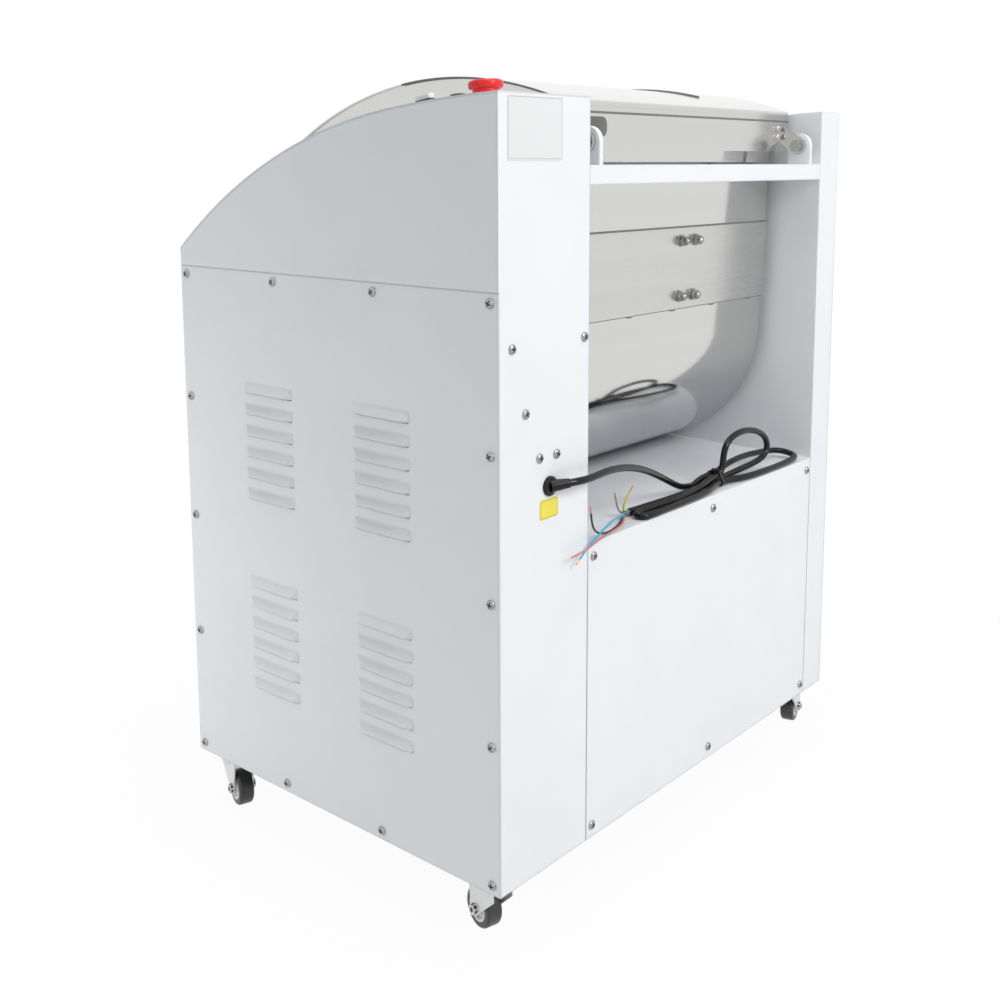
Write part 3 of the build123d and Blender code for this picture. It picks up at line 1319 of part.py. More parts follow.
def grommet():
    """Rubber grommet in the tower's back, its lip drawn out into a spout along the cable."""
    face = Plane((GROMMET_X, REAR, FLOOR + GROMMET_H), x_dir=(1, 0, 0), z_dir=(0, 1, 0))
    lip = post(GROMMET_D, 0, GROMMET_LIP)
    lip = fillet(lip.edges().filter_by(GeomType.CIRCLE).group_by(Axis.Z)[-1], 1.6)
    body = face * (lip + post(GROMMET_BORE - 2 * GROMMET_GROOVE, -SHEET, 0) + post(GROMMET_D, -SHEET - 3, -SHEET))
    spout = Plane(SPOUT_FOOT - SPOUT * 3, z_dir=SPOUT) * post(SPOUT_D, 0, SPOUT_L + 3)
    rear_side = block(GROMMET_X - 40, GROMMET_X + 40, REAR, REAR + 40, FLOOR + GROMMET_H - 40, FLOOR + GROMMET_H + 40)
    return body + (spout & rear_side)


def cable_tie():
    """A tie round the hank's waist: a band drawn tight over the four strands, its head and its tail."""
    strands = ((LOW_FAR, LOW), (LOW_NEAR, LOW), (TOP_FAR, TOP), (TOP_NEAR, TOP))

    def wrap(r):
        return make_hull([edge for y, z in strands for edge in (Pos(y, z) * Circle(r)).edges()])

    r = CABLE_D / 2 + TIE_SLACK
    tie = slab_x(wrap(r + TIE_T) - wrap(r), WAIST_X - TIE_W / 2, WAIST_X + TIE_W / 2)
    top = TOP + r + TIE_T
    half = TIE_W * 0.8
    tie += block(WAIST_X - half, WAIST_X + half, WAIST_Y - 3, WAIST_Y + 4, top - TIE_T / 2, top + 3)
    tail = make_face(Polyline((WAIST_Y + 4, top), (WAIST_Y + 13, top + 5), (WAIST_Y + 13, top + 5 + TIE_T),
                              (WAIST_Y + 4, top + TIE_T), (WAIST_Y + 4, top)))
    return tie + slab_x(tail, WAIST_X - TIE_W / 2, WAIST_X + TIE_W / 2)


# Body, base and towers
save("base_frame", base_frame())
save("drive_tower_shell", drive_tower())
save("drive_side_cover", side_cover(SIDE, True))
save("control_fascia", fascia())
save("idle_tower_shell", idle_tower())
save("idle_side_cover", side_cover(-SIDE, False))
save("base_tray", tray())
save("rear_panel", base_panel(1))
save("front_panel", base_panel(-1))
save("cover_screws", *all_screws())
save("rear_beam", rear_beam())
save("bowl_stop_buffers", *stop_buffers())
save("control_box", *control_box())

# Lid
save("lid_hinge_bolts", *hinge_bolts())
save("lid_shell", lid_shell())
save("lid_hinge_brackets", *hinge_brackets())
save("lid_handle", lid_handle())

# Bowl
save("bowl_shell", bowl_shell())
save("bowl_end_plates", *bowl_ends())
save("bowl_doubler_plate", doubler())
save("bowl_doubler_bolts", *doubler_bolts())
save("bowl_trunnions", trunnion(BOWL_X1, 1), trunnion(BOWL_X0, -1))
save("shaft_bearings", *shaft_bearings())
save("shaft_seals", *shaft_seals())
save("trunnion_housings", trunnion_housing(WALL_X, 1), trunnion_housing(IDLE_X - SHEET, -1))

# Mixing shaft and drive
save("mixing_shaft", mixing_shaft())
save("mixing_arms", mixing_arms())
save("main_gear", main_gear())
save("pinion_shaft", pinion_shaft())
save("layshaft_bracket", layshaft_bracket())
save("layshaft_bearings", *layshaft_bearings())
save("driven_pulley", pulley(PULLEY_D, LAY_Y, LAY_Z, LAYSHAFT_D, True))
save("motor_pulley", pulley(MOTOR_PULLEY_D, MOTOR_Y, MOTOR_Z, MOTOR_SHAFT_D, False))
save("drive_belts", *belts())
save("motor_body", motor_body())
save("motor_shaft", motor_shaft())

# Controls
save("control_bezels", *bezels())
save("stop_button", stop_button())
save("start_button", start_button())
save("selector_knob", selector())

# Castors
castors = {name: Pos(x, y, 0) for name, (x, y) in castor_axes().items()}
save("castor_plates", *[place * castor_plate() for place in castors.values()])
for name, place in castors.items():
    heading = place * Rot(0, 0, CASTOR_HEADING[name])
    save(f"castor_fork_{name}", heading * castor_fork())
    save(f"castor_hub_{name}", heading * castor_hub())
    save(f"castor_tyre_{name}", heading * castor_tyre())

# Power cable
save("cable_grommet", grommet())
cord, cord_path = tube(FREE_ROUTE, CABLE_D)
hank, hank_path = tube(HANK, CABLE_D)
save("power_cord", cord)
save("power_cord_hank", hank)
save("cable_tie", cable_tie())
cores = [tube(route, CORE_D)[0] for route in core_routes()]
save("cord_cores", *cores)

section = math.pi * (CABLE_D / 2) ** 2
print("free stretch radii", [round(r) for r in route_radii(FREE_ROUTE)])
print("hank radii", [round(r) for r in route_radii(HANK)])
for route in core_routes():
    print("core radii", [round(r) for r in route_radii(route)])
print("free stretch", round(cord_path.length), "mm, volume ratio", round(cord.volume / section / cord_path.length, 4))
print("hank", round(hank_path.length), "mm, volume ratio", round(hank.volume / section / hank_path.length, 4))
print("hank least gap to itself", round(least_gap(hank_path, CABLE_D), 2), "mm")
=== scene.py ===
import json
import math

import bpy
from mathutils import Matrix, Vector

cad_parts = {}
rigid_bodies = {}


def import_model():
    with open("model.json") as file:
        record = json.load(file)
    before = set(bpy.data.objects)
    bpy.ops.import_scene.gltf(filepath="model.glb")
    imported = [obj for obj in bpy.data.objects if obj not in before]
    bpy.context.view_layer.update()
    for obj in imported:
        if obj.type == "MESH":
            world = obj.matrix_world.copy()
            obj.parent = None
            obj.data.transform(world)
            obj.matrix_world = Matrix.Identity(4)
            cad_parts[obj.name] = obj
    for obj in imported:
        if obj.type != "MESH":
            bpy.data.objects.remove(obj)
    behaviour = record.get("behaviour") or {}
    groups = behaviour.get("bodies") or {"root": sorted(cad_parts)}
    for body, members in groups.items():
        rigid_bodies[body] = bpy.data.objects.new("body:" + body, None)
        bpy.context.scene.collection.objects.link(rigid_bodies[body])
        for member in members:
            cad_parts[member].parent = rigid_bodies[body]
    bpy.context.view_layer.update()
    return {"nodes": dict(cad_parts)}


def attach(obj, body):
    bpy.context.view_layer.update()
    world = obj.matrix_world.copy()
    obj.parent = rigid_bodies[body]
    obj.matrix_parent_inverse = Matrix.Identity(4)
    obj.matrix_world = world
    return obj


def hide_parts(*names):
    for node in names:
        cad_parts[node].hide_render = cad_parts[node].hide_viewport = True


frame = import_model()
NODES = frame["nodes"]
scene = bpy.context.scene
scene.view_settings.view_transform = "Standard"

# ---------------------------------------------------------------- camera

SENSOR = 36.0  # mm, as the lens
LENS = 44.259
VIEW_SHIFT = (-0.0345, -0.16)
CAMERA_AT = Vector((1.3514, 1.1395, 0.9012))
YAW, PITCH, ROLL = -50.133, -8.261, 0.029  # degrees


def photograph_camera():
    """The camera at the photograph's place, from its heading, tilt and roll."""
    yaw, pitch, roll = (math.radians(angle) for angle in (YAW, PITCH, ROLL))
    level = math.cos(pitch)
    ahead = Vector((math.sin(yaw) * level, -math.cos(yaw) * level, math.sin(pitch)))
    right = ahead.cross(Vector((0, 0, 1))).normalized()
    above = right.cross(ahead)
    across = right * math.cos(roll) + above * math.sin(roll)
    upright = above * math.cos(roll) - right * math.sin(roll)
    data = bpy.data.cameras.new("photograph_camera")
    data.sensor_width = SENSOR
    data.lens = LENS
    data.shift_x, data.shift_y = VIEW_SHIFT
    camera = bpy.data.objects.new("photograph_camera", data)
    turn = Matrix((across, upright, -ahead)).transposed().to_4x4()
    camera.matrix_world = Matrix.Translation(CAMERA_AT) @ turn
    scene.collection.objects.link(camera)
    scene.camera = camera


photograph_camera()

# ---------------------------------------------------------------- node helpers


def feed(tree, socket, value):
    """Link a value that changes over the surface to a socket, or set a constant on it."""
    if isinstance(value, bpy.types.NodeSocket):
        tree.links.new(value, socket)
    else:
        socket.default_value = value


def put(tree, kind, inputs=(), **settings):
    """Add a shader node, with its settings, and its inputs set or linked."""
    made = tree.nodes.new("ShaderNode" + kind)
    for key, value in settings.items():
        setattr(made, key, value)
    for key, value in dict(inputs).items():
        feed(tree, made.inputs[key], value)
    return made


MIX_COLOUR_SOCKETS = (0, 6, 7)  # factor and the two colours of a colour mix
MIX_COLOUR_RESULT = 2


def rgba(colour):
    """A colour with its alpha."""
    return (*colour, 1.0)


def shaded(colour, share):
    """A colour made darker or lighter by a share."""
    return tuple(channel * share for channel in colour)


def tint(tree, factor, first, second):
    """A colour between two others, by a factor that changes over the surface."""
    made = put(tree, "Mix", data_type="RGBA")
    for socket, value in zip(MIX_COLOUR_SOCKETS, (factor, first, second)):
        feed(tree, made.inputs[socket], rgba(value) if isinstance(value, tuple) else value)
    return made.outputs[MIX_COLOUR_RESULT]


def spread(tree, value, low, high, start=0.0, end=1.0):
    """A value that runs from start..end mapped to low..high."""
    settings = {"Value": value, "From Min": start, "From Max": end, "To Min": low, "To Max": high}
    return put(tree, "MapRange", settings).outputs["Result"]


def sharpened(tree, value, start, end):
    """A value stretched so that start..end fills 0..1."""
    return spread(tree, value, 0.0, 1.0, start, end)


def times(tree, first, second, operation="MULTIPLY"):
    """Two values multiplied, or joined by another operation."""
    made = put(tree, "Math", operation=operation)
    for socket, value in zip(made.inputs, (first, second)):
        feed(tree, socket, value)
    return made.outputs[0]


def stretched(tree, place, scale, turn=(0, 0, 0)):
    """Object coordinates stretched for a grain that runs one way."""
    settings = {"Vector": place, "Scale": scale, "Rotation": [math.radians(a) for a in turn]}
    return put(tree, "Mapping", settings).outputs["Vector"]


def noise(tree, place, scale, detail, **settings):
    """A noise over the surface, from 0 to 1."""
    inputs = {"Vector": place, "Scale": scale, "Detail": detail, **settings}
    return put(tree, "TexNoise", inputs).outputs["Fac"]


def upwardness(tree):
    """How far a face looks up: 1 for level, 0 for upright."""
    normal = put(tree, "NewGeometry").outputs["Normal"]
    return put(tree, "SeparateXYZ", {"Vector": normal}).outputs["Z"]


def effect(name, inputs, outputs):
    """A shared effect: a node group with its inputs and outputs."""
    group = bpy.data.node_groups.new(name, "ShaderNodeTree")
    for label, kind, default in inputs:
        socket = group.interface.new_socket(name=label, in_out="INPUT", socket_type=kind)
        if default is not None:
            socket.default_value = default
    for label in outputs:
        group.interface.new_socket(name=label, in_out="OUTPUT", socket_type="NodeSocketFloat")
    return group, group.nodes.new("NodeGroupInput"), group.nodes.new("NodeGroupOutput")


def apply_effect(tree, group, inputs):
    """Place a shared effect in a material and return its outputs."""
    made = tree.nodes.new("ShaderNodeGroup")
    made.node_tree = group
    for key, value in inputs.items():
        feed(tree, made.inputs[key], value)
    return made.outputs


PLACE_INPUT = ("Place", "NodeSocketVector", None)

# ---------------------------------------------------------------- shared effects


def coat_skin_effect():
    """Orange peel and slow mottling of a baked powder coat."""
    size_input = ("Peel Size", "NodeSocketFloat", 700.0)
    group, given, result = effect("coat_skin", [PLACE_INPUT, size_input], ["Peel", "Mottle"])
    place, size = given.outputs["Place"], given.outputs["Peel Size"]
    peel = noise(group, place, size, 2.0, Roughness=0.5)
    cells = put(group, "TexVoronoi", {"Vector": place, "Scale": size}, feature="SMOOTH_F1")
    slow = noise(group, place, 7.0, 3.0, Distortion=0.4)
    group.links.new(times(group, peel, cells.outputs["Distance"], "ADD"), result.inputs["Peel"])
    group.links.new(sharpened(group, slow, 0.3, 0.7), result.inputs["Mottle"])
    return group


def handling_effect():
    """Wiping smudges and a few hairline scratches."""
    group, given, result = effect("handling_marks", [PLACE_INPUT], ["Smudge", "Scratch"])
    place = given.outputs["Place"]
    wiped = stretched(group, place, (5, 9, 14), (20, 35, 0))
    smear = noise(group, wiped, 1.0, 5.0, Roughness=0.6, Distortion=0.8)
    group.links.new(sharpened(group, smear, 0.42, 0.75), result.inputs["Smudge"])
    scratches = []
    for turn in ((12, 40, 25), (55, -20, 70)):
        fine = noise(group, stretched(group, place, (9, 900, 900), turn), 1.0, 1.0)
        scratches.append(sharpened(group, fine, 0.735, 0.77))
    group.links.new(times(group, *scratches, "MAXIMUM"), result.inputs["Scratch"])
    return group


def brushed_effect():
    """Brush lines in stainless sheet, on coordinates already stretched along the grain."""
    group, given, result = effect("brushed_lines", [PLACE_INPUT], ["Lines", "Bands"])
    place = given.outputs["Place"]
    fine = noise(group, place, 1.0, 4.0, Roughness=0.75)
    wide = noise(group, place, 0.045, 2.0)
    group.links.new(sharpened(group, fine, 0.3, 0.7), result.inputs["Lines"])
    group.links.new(sharpened(group, wide, 0.35, 0.65), result.inputs["Bands"])
    return group


def dust_effect():
    """Fine dust that settles on faces that look up."""
    group, given, result = effect("settled_dust", [PLACE_INPUT], ["Dust"])
    place = given.outputs["Place"]
    level = sharpened(group, upwardness(group), 0.6, 1.0)
    speck = noise(group, place, 40.0, 6.0, Roughness=0.7)
    patch = noise(group, place, 6.0, 2.0)
    amount = times(group, sharpened(group, speck, 0.4, 0.8), patch)
    group.links.new(times(group, level, amount), result.inputs["Dust"])
    return group


def moulded_effect():
    """Fine grain and slow speckle of moulded plastic and rubber."""
    size_input = ("Grain Size", "NodeSocketFloat", 1500.0)
    group, given, result = effect("moulded_grain", [PLACE_INPUT, size_input], ["Grain", "Speckle"])
    place = given.outputs["Place"]
    slow = noise(group, place, 60.0, 5.0, Roughness=0.65)
    group.links.new(noise(group, place, given.outputs["Grain Size"], 3.0), result.inputs["Grain"])
    group.links.new(sharpened(group, slow, 0.35, 0.7), result.inputs["Speckle"])
    return group


COAT_SKIN = coat_skin_effect()
HANDLING = handling_effect()
BRUSHED = brushed_effect()
DUST = dust_effect()
MOULDED = moulded_effect()

# ---------------------------------------------------------------- finishes

DUST_TONE = (0.62, 0.60, 0.56)
OIL_TONE = (0.20, 0.15, 0.09)
COAT_EDGE = 0.0032  # radius to which the coat rounds the sheet's edges
FINE_GRAIN = 2500.0


def new_finish(name):
    """A new material; its tree, its shader and the piece's own coordinates."""
    material = bpy.data.materials.new(name)
    material.use_nodes = True
    tree = material.node_tree
    return material, tree, tree.nodes["Principled BSDF"], put(tree, "TexCoord").outputs["Object"]


def bump(tree, skin, height, distance, soft=0.0):
    """Relief from a height that changes over the surface; soft rounds the edges, both in metres."""
    made = put(tree, "Bump", {"Height": height, "Distance": distance})
    if soft:
        rounded = put(tree, "Bevel", {"Radius": soft}, samples=6)
        tree.links.new(rounded.outputs["Normal"], made.inputs["Normal"])
    tree.links.new(made.outputs["Normal"], skin.inputs["Normal"])


def powder_coat(name, colour, rough, peel_size, relief):
    """Baked powder coat: orange peel, faint mottling, wiped and dusty places."""
    material, tree, skin, place = new_finish(name)
    coat = apply_effect(tree, COAT_SKIN, {"Place": place, "Peel Size": peel_size})
    marks = apply_effect(tree, HANDLING, {"Place": place})
    dust = apply_effect(tree, DUST, {"Place": place})["Dust"]
    tone = tint(tree, coat["Mottle"], colour, shaded(colour, 0.972))
    tone = tint(tree, times(tree, dust, 0.12), tone, DUST_TONE)
    tree.links.new(tone, skin.inputs["Base Color"])
    wiped = spread(tree, marks["Smudge"], rough - 0.03, rough + 0.07)
    gloss = times(tree, wiped, times(tree, dust, 0.25), "ADD")
    tree.links.new(gloss, skin.inputs["Roughness"])
    bump(tree, skin, coat["Peel"], relief, COAT_EDGE)
    return material


def stainless(name, colour, rough, grain, painted_shade=None, painted_top_light=None):
    """Stainless steel with brush lines along one way, smudges and hairline scratches.

    painted_shade is two heights and the tone that comes in between them, painted shade and painted
    reflection of the shaded tray that darken the bowl towards the bottom; painted_top_light is a painted
    highlight tone on faces that look up.
    """
    material, tree, skin, place = new_finish(name)
    lines = apply_effect(tree, BRUSHED, {"Place": stretched(tree, place, grain)})
    marks = apply_effect(tree, HANDLING, {"Place": place})
    tone = tint(tree, lines["Bands"], shaded(colour, 0.985), shaded(colour, 1.012))
    tone = tint(tree, times(tree, lines["Lines"], 0.25), tone, shaded(colour, 0.96))
    tone = tint(tree, times(tree, marks["Scratch"], 0.25), tone, shaded(colour, 1.08))
    # painted shade: below the first height the steel turns to a bluish dark tone, standing in for the shaded
    # tray it reflects
    if painted_shade:
        start, end, painted_shade_tone = painted_shade
        height = put(tree, "SeparateXYZ", {"Vector": place}).outputs["Z"]
        tone = tint(tree, sharpened(tree, height, start, end), tone, painted_shade_tone)
    # painted highlight: faces that look up take a lighter tone, as if lit from above
    if painted_top_light:
        tone = tint(tree, sharpened(tree, upwardness(tree), 0.35, 0.85), tone, painted_top_light)
    tree.links.new(tone, skin.inputs["Base Color"])
    brushed = spread(tree, lines["Lines"], rough - 0.02, rough + 0.03)
    gloss = times(tree, brushed, times(tree, marks["Smudge"], 0.03), "ADD")
    tree.links.new(gloss, skin.inputs["Roughness"])
    skin.inputs["Metallic"].default_value = 1.0
    bump(tree, skin, lines["Lines"], 0.000004)
    return material


def bright_metal(name, colour, rough, cloud_tone, cloud_size=90.0, metal=1.0):
    """Plated or polished metal with a cloudy passivated tone."""
    material, tree, skin, place = new_finish(name)
    marks = apply_effect(tree, HANDLING, {"Place": place})
    grain = apply_effect(tree, MOULDED, {"Place": place, "Grain Size": FINE_GRAIN})
    cloud = noise(tree, place, cloud_size, 4.0, Distortion=1.0)
    tone = tint(tree, sharpened(tree, cloud, 0.35, 0.7), colour, cloud_tone)
    tree.links.new(tone, skin.inputs["Base Color"])
    plated = spread(tree, grain["Speckle"], rough, rough + 0.09)
    gloss = times(tree, plated, times(tree, marks["Scratch"], 0.2), "ADD")
    tree.links.new(gloss, skin.inputs["Roughness"])
    skin.inputs["Metallic"].default_value = metal
    bump(tree, skin, grain["Grain"], 0.00001)
    return material


def machined_steel(name, rough, axis_y, axis_z):
    """Turned steel: fine tool rings round an axis along X, with a thin oil film."""
    material, tree, skin, place = new_finish(name)
    centred = put(tree, "Mapping", {"Vector": place, "Location": (0.0, -axis_y, -axis_z)}).outputs["Vector"]
    settings = {"Vector": centred, "Scale": 60.0, "Distortion": 0.6, "Detail": 2.0, "Detail Scale": 3.0}
    rings = put(tree, "TexWave", settings, wave_type="RINGS", rings_direction="X").outputs["Fac"]
    marks = apply_effect(tree, HANDLING, {"Place": place})
    tone = tint(tree, rings, TURNED_TONE, shaded(TURNED_TONE, 0.86))
    tone = tint(tree, times(tree, marks["Smudge"], 0.35), tone, OIL_TONE)
    tree.links.new(tone, skin.inputs["Base Color"])
    tree.links.new(spread(tree, rings, rough, rough + 0.12), skin.inputs["Roughness"])
    skin.inputs["Metallic"].default_value = 1.0
    bump(tree, skin, rings, 0.00002)
    return material


def painted_iron(name, colour, rough, relief, size):
    """Enamel over iron or steel, with a pebbled skin and dust on faces that look up."""
    material, tree, skin, place = new_finish(name)
    coat = apply_effect(tree, COAT_SKIN, {"Place": place, "Peel Size": size})
    dust = apply_effect(tree, DUST, {"Place": place})["Dust"]
    tone = tint(tree, coat["Mottle"], colour, shaded(colour, 0.8))
    tone = tint(tree, times(tree, dust, 0.4), tone, DUST_TONE)
    tree.links.new(tone, skin.inputs["Base Color"])
    tree.links.new(spread(tree, coat["Mottle"], rough, rough + 0.1), skin.inputs["Roughness"])
    bump(tree, skin, coat["Peel"], relief)
    return material


def moulded(name, colour, rough, relief, size=1500.0, speck=0.9, coat=0.0, shine=0.5):
    """Moulded plastic or rubber: fine grain, slow speckle, a little dust."""
    material, tree, skin, place = new_finish(name)
    grain = apply_effect(tree, MOULDED, {"Place": place, "Grain Size": size})
    dust = apply_effect(tree, DUST, {"Place": place})["Dust"]
    tone = tint(tree, grain["Speckle"], colour, shaded(colour, speck))
    tone = tint(tree, times(tree, dust, 0.1), tone, DUST_TONE)
    tree.links.new(tone, skin.inputs["Base Color"])
    tree.links.new(spread(tree, grain["Speckle"], rough - 0.04, rough + 0.06), skin.inputs["Roughness"])
    skin.inputs["Coat Weight"].default_value = coat
    skin.inputs["Specular IOR Level"].default_value = shine
    bump(tree, skin, grain["Grain"], relief)
    return material


MIXER_AXIS = (0.0, 0.656)  # y and z of each shaft
LAYSHAFT_AXIS = (-0.1125, 0.506)
MOTOR_AXIS = (0.04, 0.190)
COAT_WHITE = (0.825, 0.842, 0.866)
STEEL_TONE = (0.655, 0.652, 0.638)
TURNED_TONE = (0.52, 0.52, 0.53)
SHEET_GRAIN = (2.5, 900, 900)
# painted shade and painted reflection: the bowl's steel turns to this bluish dark tone from 0.60 m down to
# 0.50 m
BOWL_PAINTED_SHADE = (0.60, 0.50, (0.485, 0.505, 0.535))

white_coat = powder_coat("white_powder_coat", COAT_WHITE, 0.36, 750.0, 0.00004)
sheet_steel = stainless("bowl_sheet_steel", STEEL_TONE, 0.07, SHEET_GRAIN, painted_shade=BOWL_PAINTED_SHADE)
# the lid's top carries a painted highlight tone on its faces that look up
lid_steel = stainless("lid_sheet_steel", shaded(STEEL_TONE, 0.99), 0.17, SHEET_GRAIN,
                      painted_top_light=(0.80, 0.80, 0.79))
plate_steel = stainless("doubler_plate_steel", shaded(STEEL_TONE, 0.97), 0.25, (3.0, 800, 800))
bar_steel = stainless("satin_bar_steel", shaded(STEEL_TONE, 0.98), 0.24, (60, 700, 700))
bracket_steel = stainless("hinge_bracket_steel", shaded(STEEL_TONE, 0.96), 0.14, (400, 400, 12))
# the hinge leaf is a much darker copy of the stainless: painted dark reflection
painted_dark_leaf_steel = stainless("hinge_leaf_painted_dark_steel", shaded(STEEL_TONE, 0.27), 0.12, (12, 400, 400))
screw_zinc = bright_metal("screw_zinc", (0.42, 0.42, 0.415), 0.22, (0.34, 0.35, 0.36))
# bolt steel with a base darker than bright steel and a darker cloud: painted dark reflection, with the
# lamps' bright spots on top
painted_dark_bolt_steel = bright_metal("painted_dark_bolt_steel", (0.44, 0.435, 0.42), 0.10, (0.24, 0.24, 0.24), 160.0)
pivot_steel = bright_metal("hinge_bolt_steel", (0.50, 0.50, 0.49), 0.16, (0.40, 0.40, 0.40), 160.0)
pressed_zinc = bright_metal("pressed_fork_zinc", (0.76, 0.76, 0.75), 0.34, (0.68, 0.69, 0.71), 140.0, 0.6)
chrome = bright_metal("chromed_ring", (0.78, 0.78, 0.78), 0.09, (0.72, 0.73, 0.75), 200.0)
shaft_steel = machined_steel("turned_shaft_steel", 0.26, *MIXER_AXIS)
layshaft_steel = machined_steel("turned_layshaft_steel", 0.26, *LAYSHAFT_AXIS)
motor_steel = machined_steel("turned_motor_shaft_steel", 0.24, *MOTOR_AXIS)
frame_paint = painted_iron("frame_enamel", (0.46, 0.47, 0.49), 0.42, 0.00008, 500.0)
cast_iron = painted_iron("grey_cast_iron", (0.10, 0.105, 0.11), 0.6, 0.0003, 260.0)
motor_paint = painted_iron("motor_enamel", (0.16, 0.20, 0.24), 0.4, 0.0001, 400.0)
black_rubber = moulded("black_rubber", (0.008, 0.008, 0.0085), 0.28, 0.00002, 1500.0, 0.85, shine=0.28)
belt_rubber = moulded("belt_rubber", (0.028, 0.027, 0.026), 0.7, 0.00012, 700.0)
tyre_rubber = moulded("tyre_rubber", (0.040, 0.040, 0.042), 0.34, 0.00005, 1100.0)
hub_plastic = moulded("hub_plastic", (0.86, 0.86, 0.845), 0.42, 0.00003)
box_plastic = moulded("control_box_plastic", (0.42, 0.43, 0.44), 0.5, 0.00006, 900.0)
stop_red = moulded("stop_red_plastic", (0.74, 0.020, 0.022), 0.30, 0.000012, FINE_GRAIN, 0.94, shine=0.35)
start_grey = moulded("start_dark_plastic", (0.055, 0.055, 0.057), 0.3, 0.000012, FINE_GRAIN, 0.94, 0.3)
knob_black = moulded("knob_black_plastic", (0.018, 0.018, 0.019), 0.36, 0.00002, 2000.0)
tie_nylon = moulded("tie_black_nylon", (0.012, 0.012, 0.0125), 0.26, 0.00001, FINE_GRAIN)

FINISHES = {
    white_coat: ["drive_tower_shell", "drive_side_cover", "control_fascia", "idle_tower_shell",
                 "idle_side_cover", "base_tray", "rear_panel", "front_panel", "rear_beam"],
    sheet_steel: ["bowl_shell", "bowl_end_plates"],
    lid_steel: ["lid_shell"],
    plate_steel: ["bowl_doubler_plate"],
    bar_steel: ["lid_handle", "mixing_arms", "mixing_shaft"],
    bracket_steel: ["lid_hinge_brackets"],
    screw_zinc: ["cover_screws"],
    painted_dark_bolt_steel: ["bowl_doubler_bolts"],
    pivot_steel: ["lid_hinge_bolts"],
    chrome: ["control_bezels"],
    shaft_steel: ["bowl_trunnions", "shaft_bearings", "main_gear"],
    layshaft_steel: ["pinion_shaft", "layshaft_bearings"],
    motor_steel: ["motor_shaft"],
    frame_paint: ["base_frame", "layshaft_bracket"],
    cast_iron: ["trunnion_housings", "driven_pulley", "motor_pulley"],
    motor_paint: ["motor_body"],
    black_rubber: ["bowl_stop_buffers", "shaft_seals", "cable_grommet"],
    belt_rubber: ["drive_belts"],
    box_plastic: ["control_box"],
    stop_red: ["stop_button"],
    start_grey: ["start_button"],
    knob_black: ["selector_knob"],
    tie_nylon: ["cable_tie", "power_cord", "power_cord_hank", "cord_cores"],
    pressed_zinc: ["castor_plates"],
    tyre_rubber: [],
    hub_plastic: [],
}
CORNERS = ("drive_rear", "drive_front", "idle_rear", "idle_front")
for corner in CORNERS:
    FINISHES[pressed_zinc].append("castor_fork_" + corner)
    FINISHES[hub_plastic].append("castor_hub_" + corner)
    FINISHES[tyre_rubber].append("castor_tyre_" + corner)
for material, names in FINISHES.items():
    for name in names:
        NODES[name].data.materials.clear()
        NODES[name].data.materials.append(material)

# ---------------------------------------------------------------- modelling helpers


def clear_selection():
    """Leave edit mode and deselect everything."""
    if bpy.context.mode != "OBJECT":
        bpy.ops.object.mode_set(mode="OBJECT")
    bpy.ops.object.select_all(action="DESELECT")


def started(name):
    """Name the primitive just added, put its place into its mesh and open it for editing."""
    piece = bpy.context.object
    piece.name = piece.data.name = name
    bpy.ops.object.transform_apply(location=True, rotation=True, scale=True)
    bpy.ops.object.mode_set(mode="EDIT")
    bpy.ops.mesh.select_all(action="SELECT")
    return piece


def mended():
    """Merge doubles and turn the normals out."""
    bpy.ops.mesh.select_all(action="SELECT")
    bpy.ops.mesh.remove_doubles(threshold=0.000005)
    bpy.ops.mesh.normals_make_consistent(inside=False)


def closed():
    """Mend the mesh and leave edit mode."""
    mended()
    bpy.ops.object.mode_set(mode="OBJECT")


def turned(name, first, steps, sides=32, foot=0.0, twist=0.0):
    """A piece along Z: a disc raised in steps of height and radius, each step twisted if asked."""
    clear_selection()
    bpy.ops.mesh.primitive_circle_add(vertices=sides, radius=first, fill_type="NGON", location=(0, 0, foot))
    piece = started(name)
    wide = first
    for rise, radius in steps:
        bpy.ops.mesh.extrude_region_move(TRANSFORM_OT_translate={"value": (0, 0, rise)})
        bpy.ops.transform.resize(value=(radius / wide, radius / wide, 1), center_override=(0, 0, 0))
        if twist:
            bpy.ops.transform.rotate(value=math.radians(twist), orient_axis="Z", center_override=(0, 0, 0))
        wide = radius
    closed()
    return piece


def bar(name, low, high, soft):
    """A straight bar between two corners, its edges rounded."""
    clear_selection()
    middle = (Vector(low) + Vector(high)) / 2
    bpy.ops.mesh.primitive_cube_add(size=1, location=middle)
    piece = started(name)
    bpy.ops.transform.resize(value=Vector(high) - Vector(low), center_override=middle)
    bpy.ops.mesh.bevel(offset=soft, segments=3, affect="EDGES")
    closed()
    return piece


def rounded_plate(name, middle, width, height, thick, corner, steps):
    """A plate with rounded corners that lies to the rear, left in edit mode with its face selected."""
    clear_selection()
    bpy.ops.mesh.primitive_plane_add(size=1, location=middle, rotation=(math.radians(-90), 0, 0))
    plate = started(name)
    bpy.ops.transform.resize(value=(width, 1, height), center_override=middle)
    bpy.ops.mesh.bevel(offset=corner, segments=steps, affect="VERTICES")
    bpy.ops.mesh.select_mode(type="FACE")
    bpy.ops.mesh.select_all(action="SELECT")
    bpy.ops.mesh.extrude_region_move(TRANSFORM_OT_translate={"value": (0, thick, 0)})
    return plate


def stand(piece, at, axis, roll=0.0):
    """Turn a piece modelled along Z to an axis, at its place."""
    turn = Vector(axis).to_track_quat("Z", "Y").to_matrix().to_4x4()
    piece.matrix_world = Matrix.Translation(at) @ turn @ Matrix.Rotation(roll, 4, "Z")


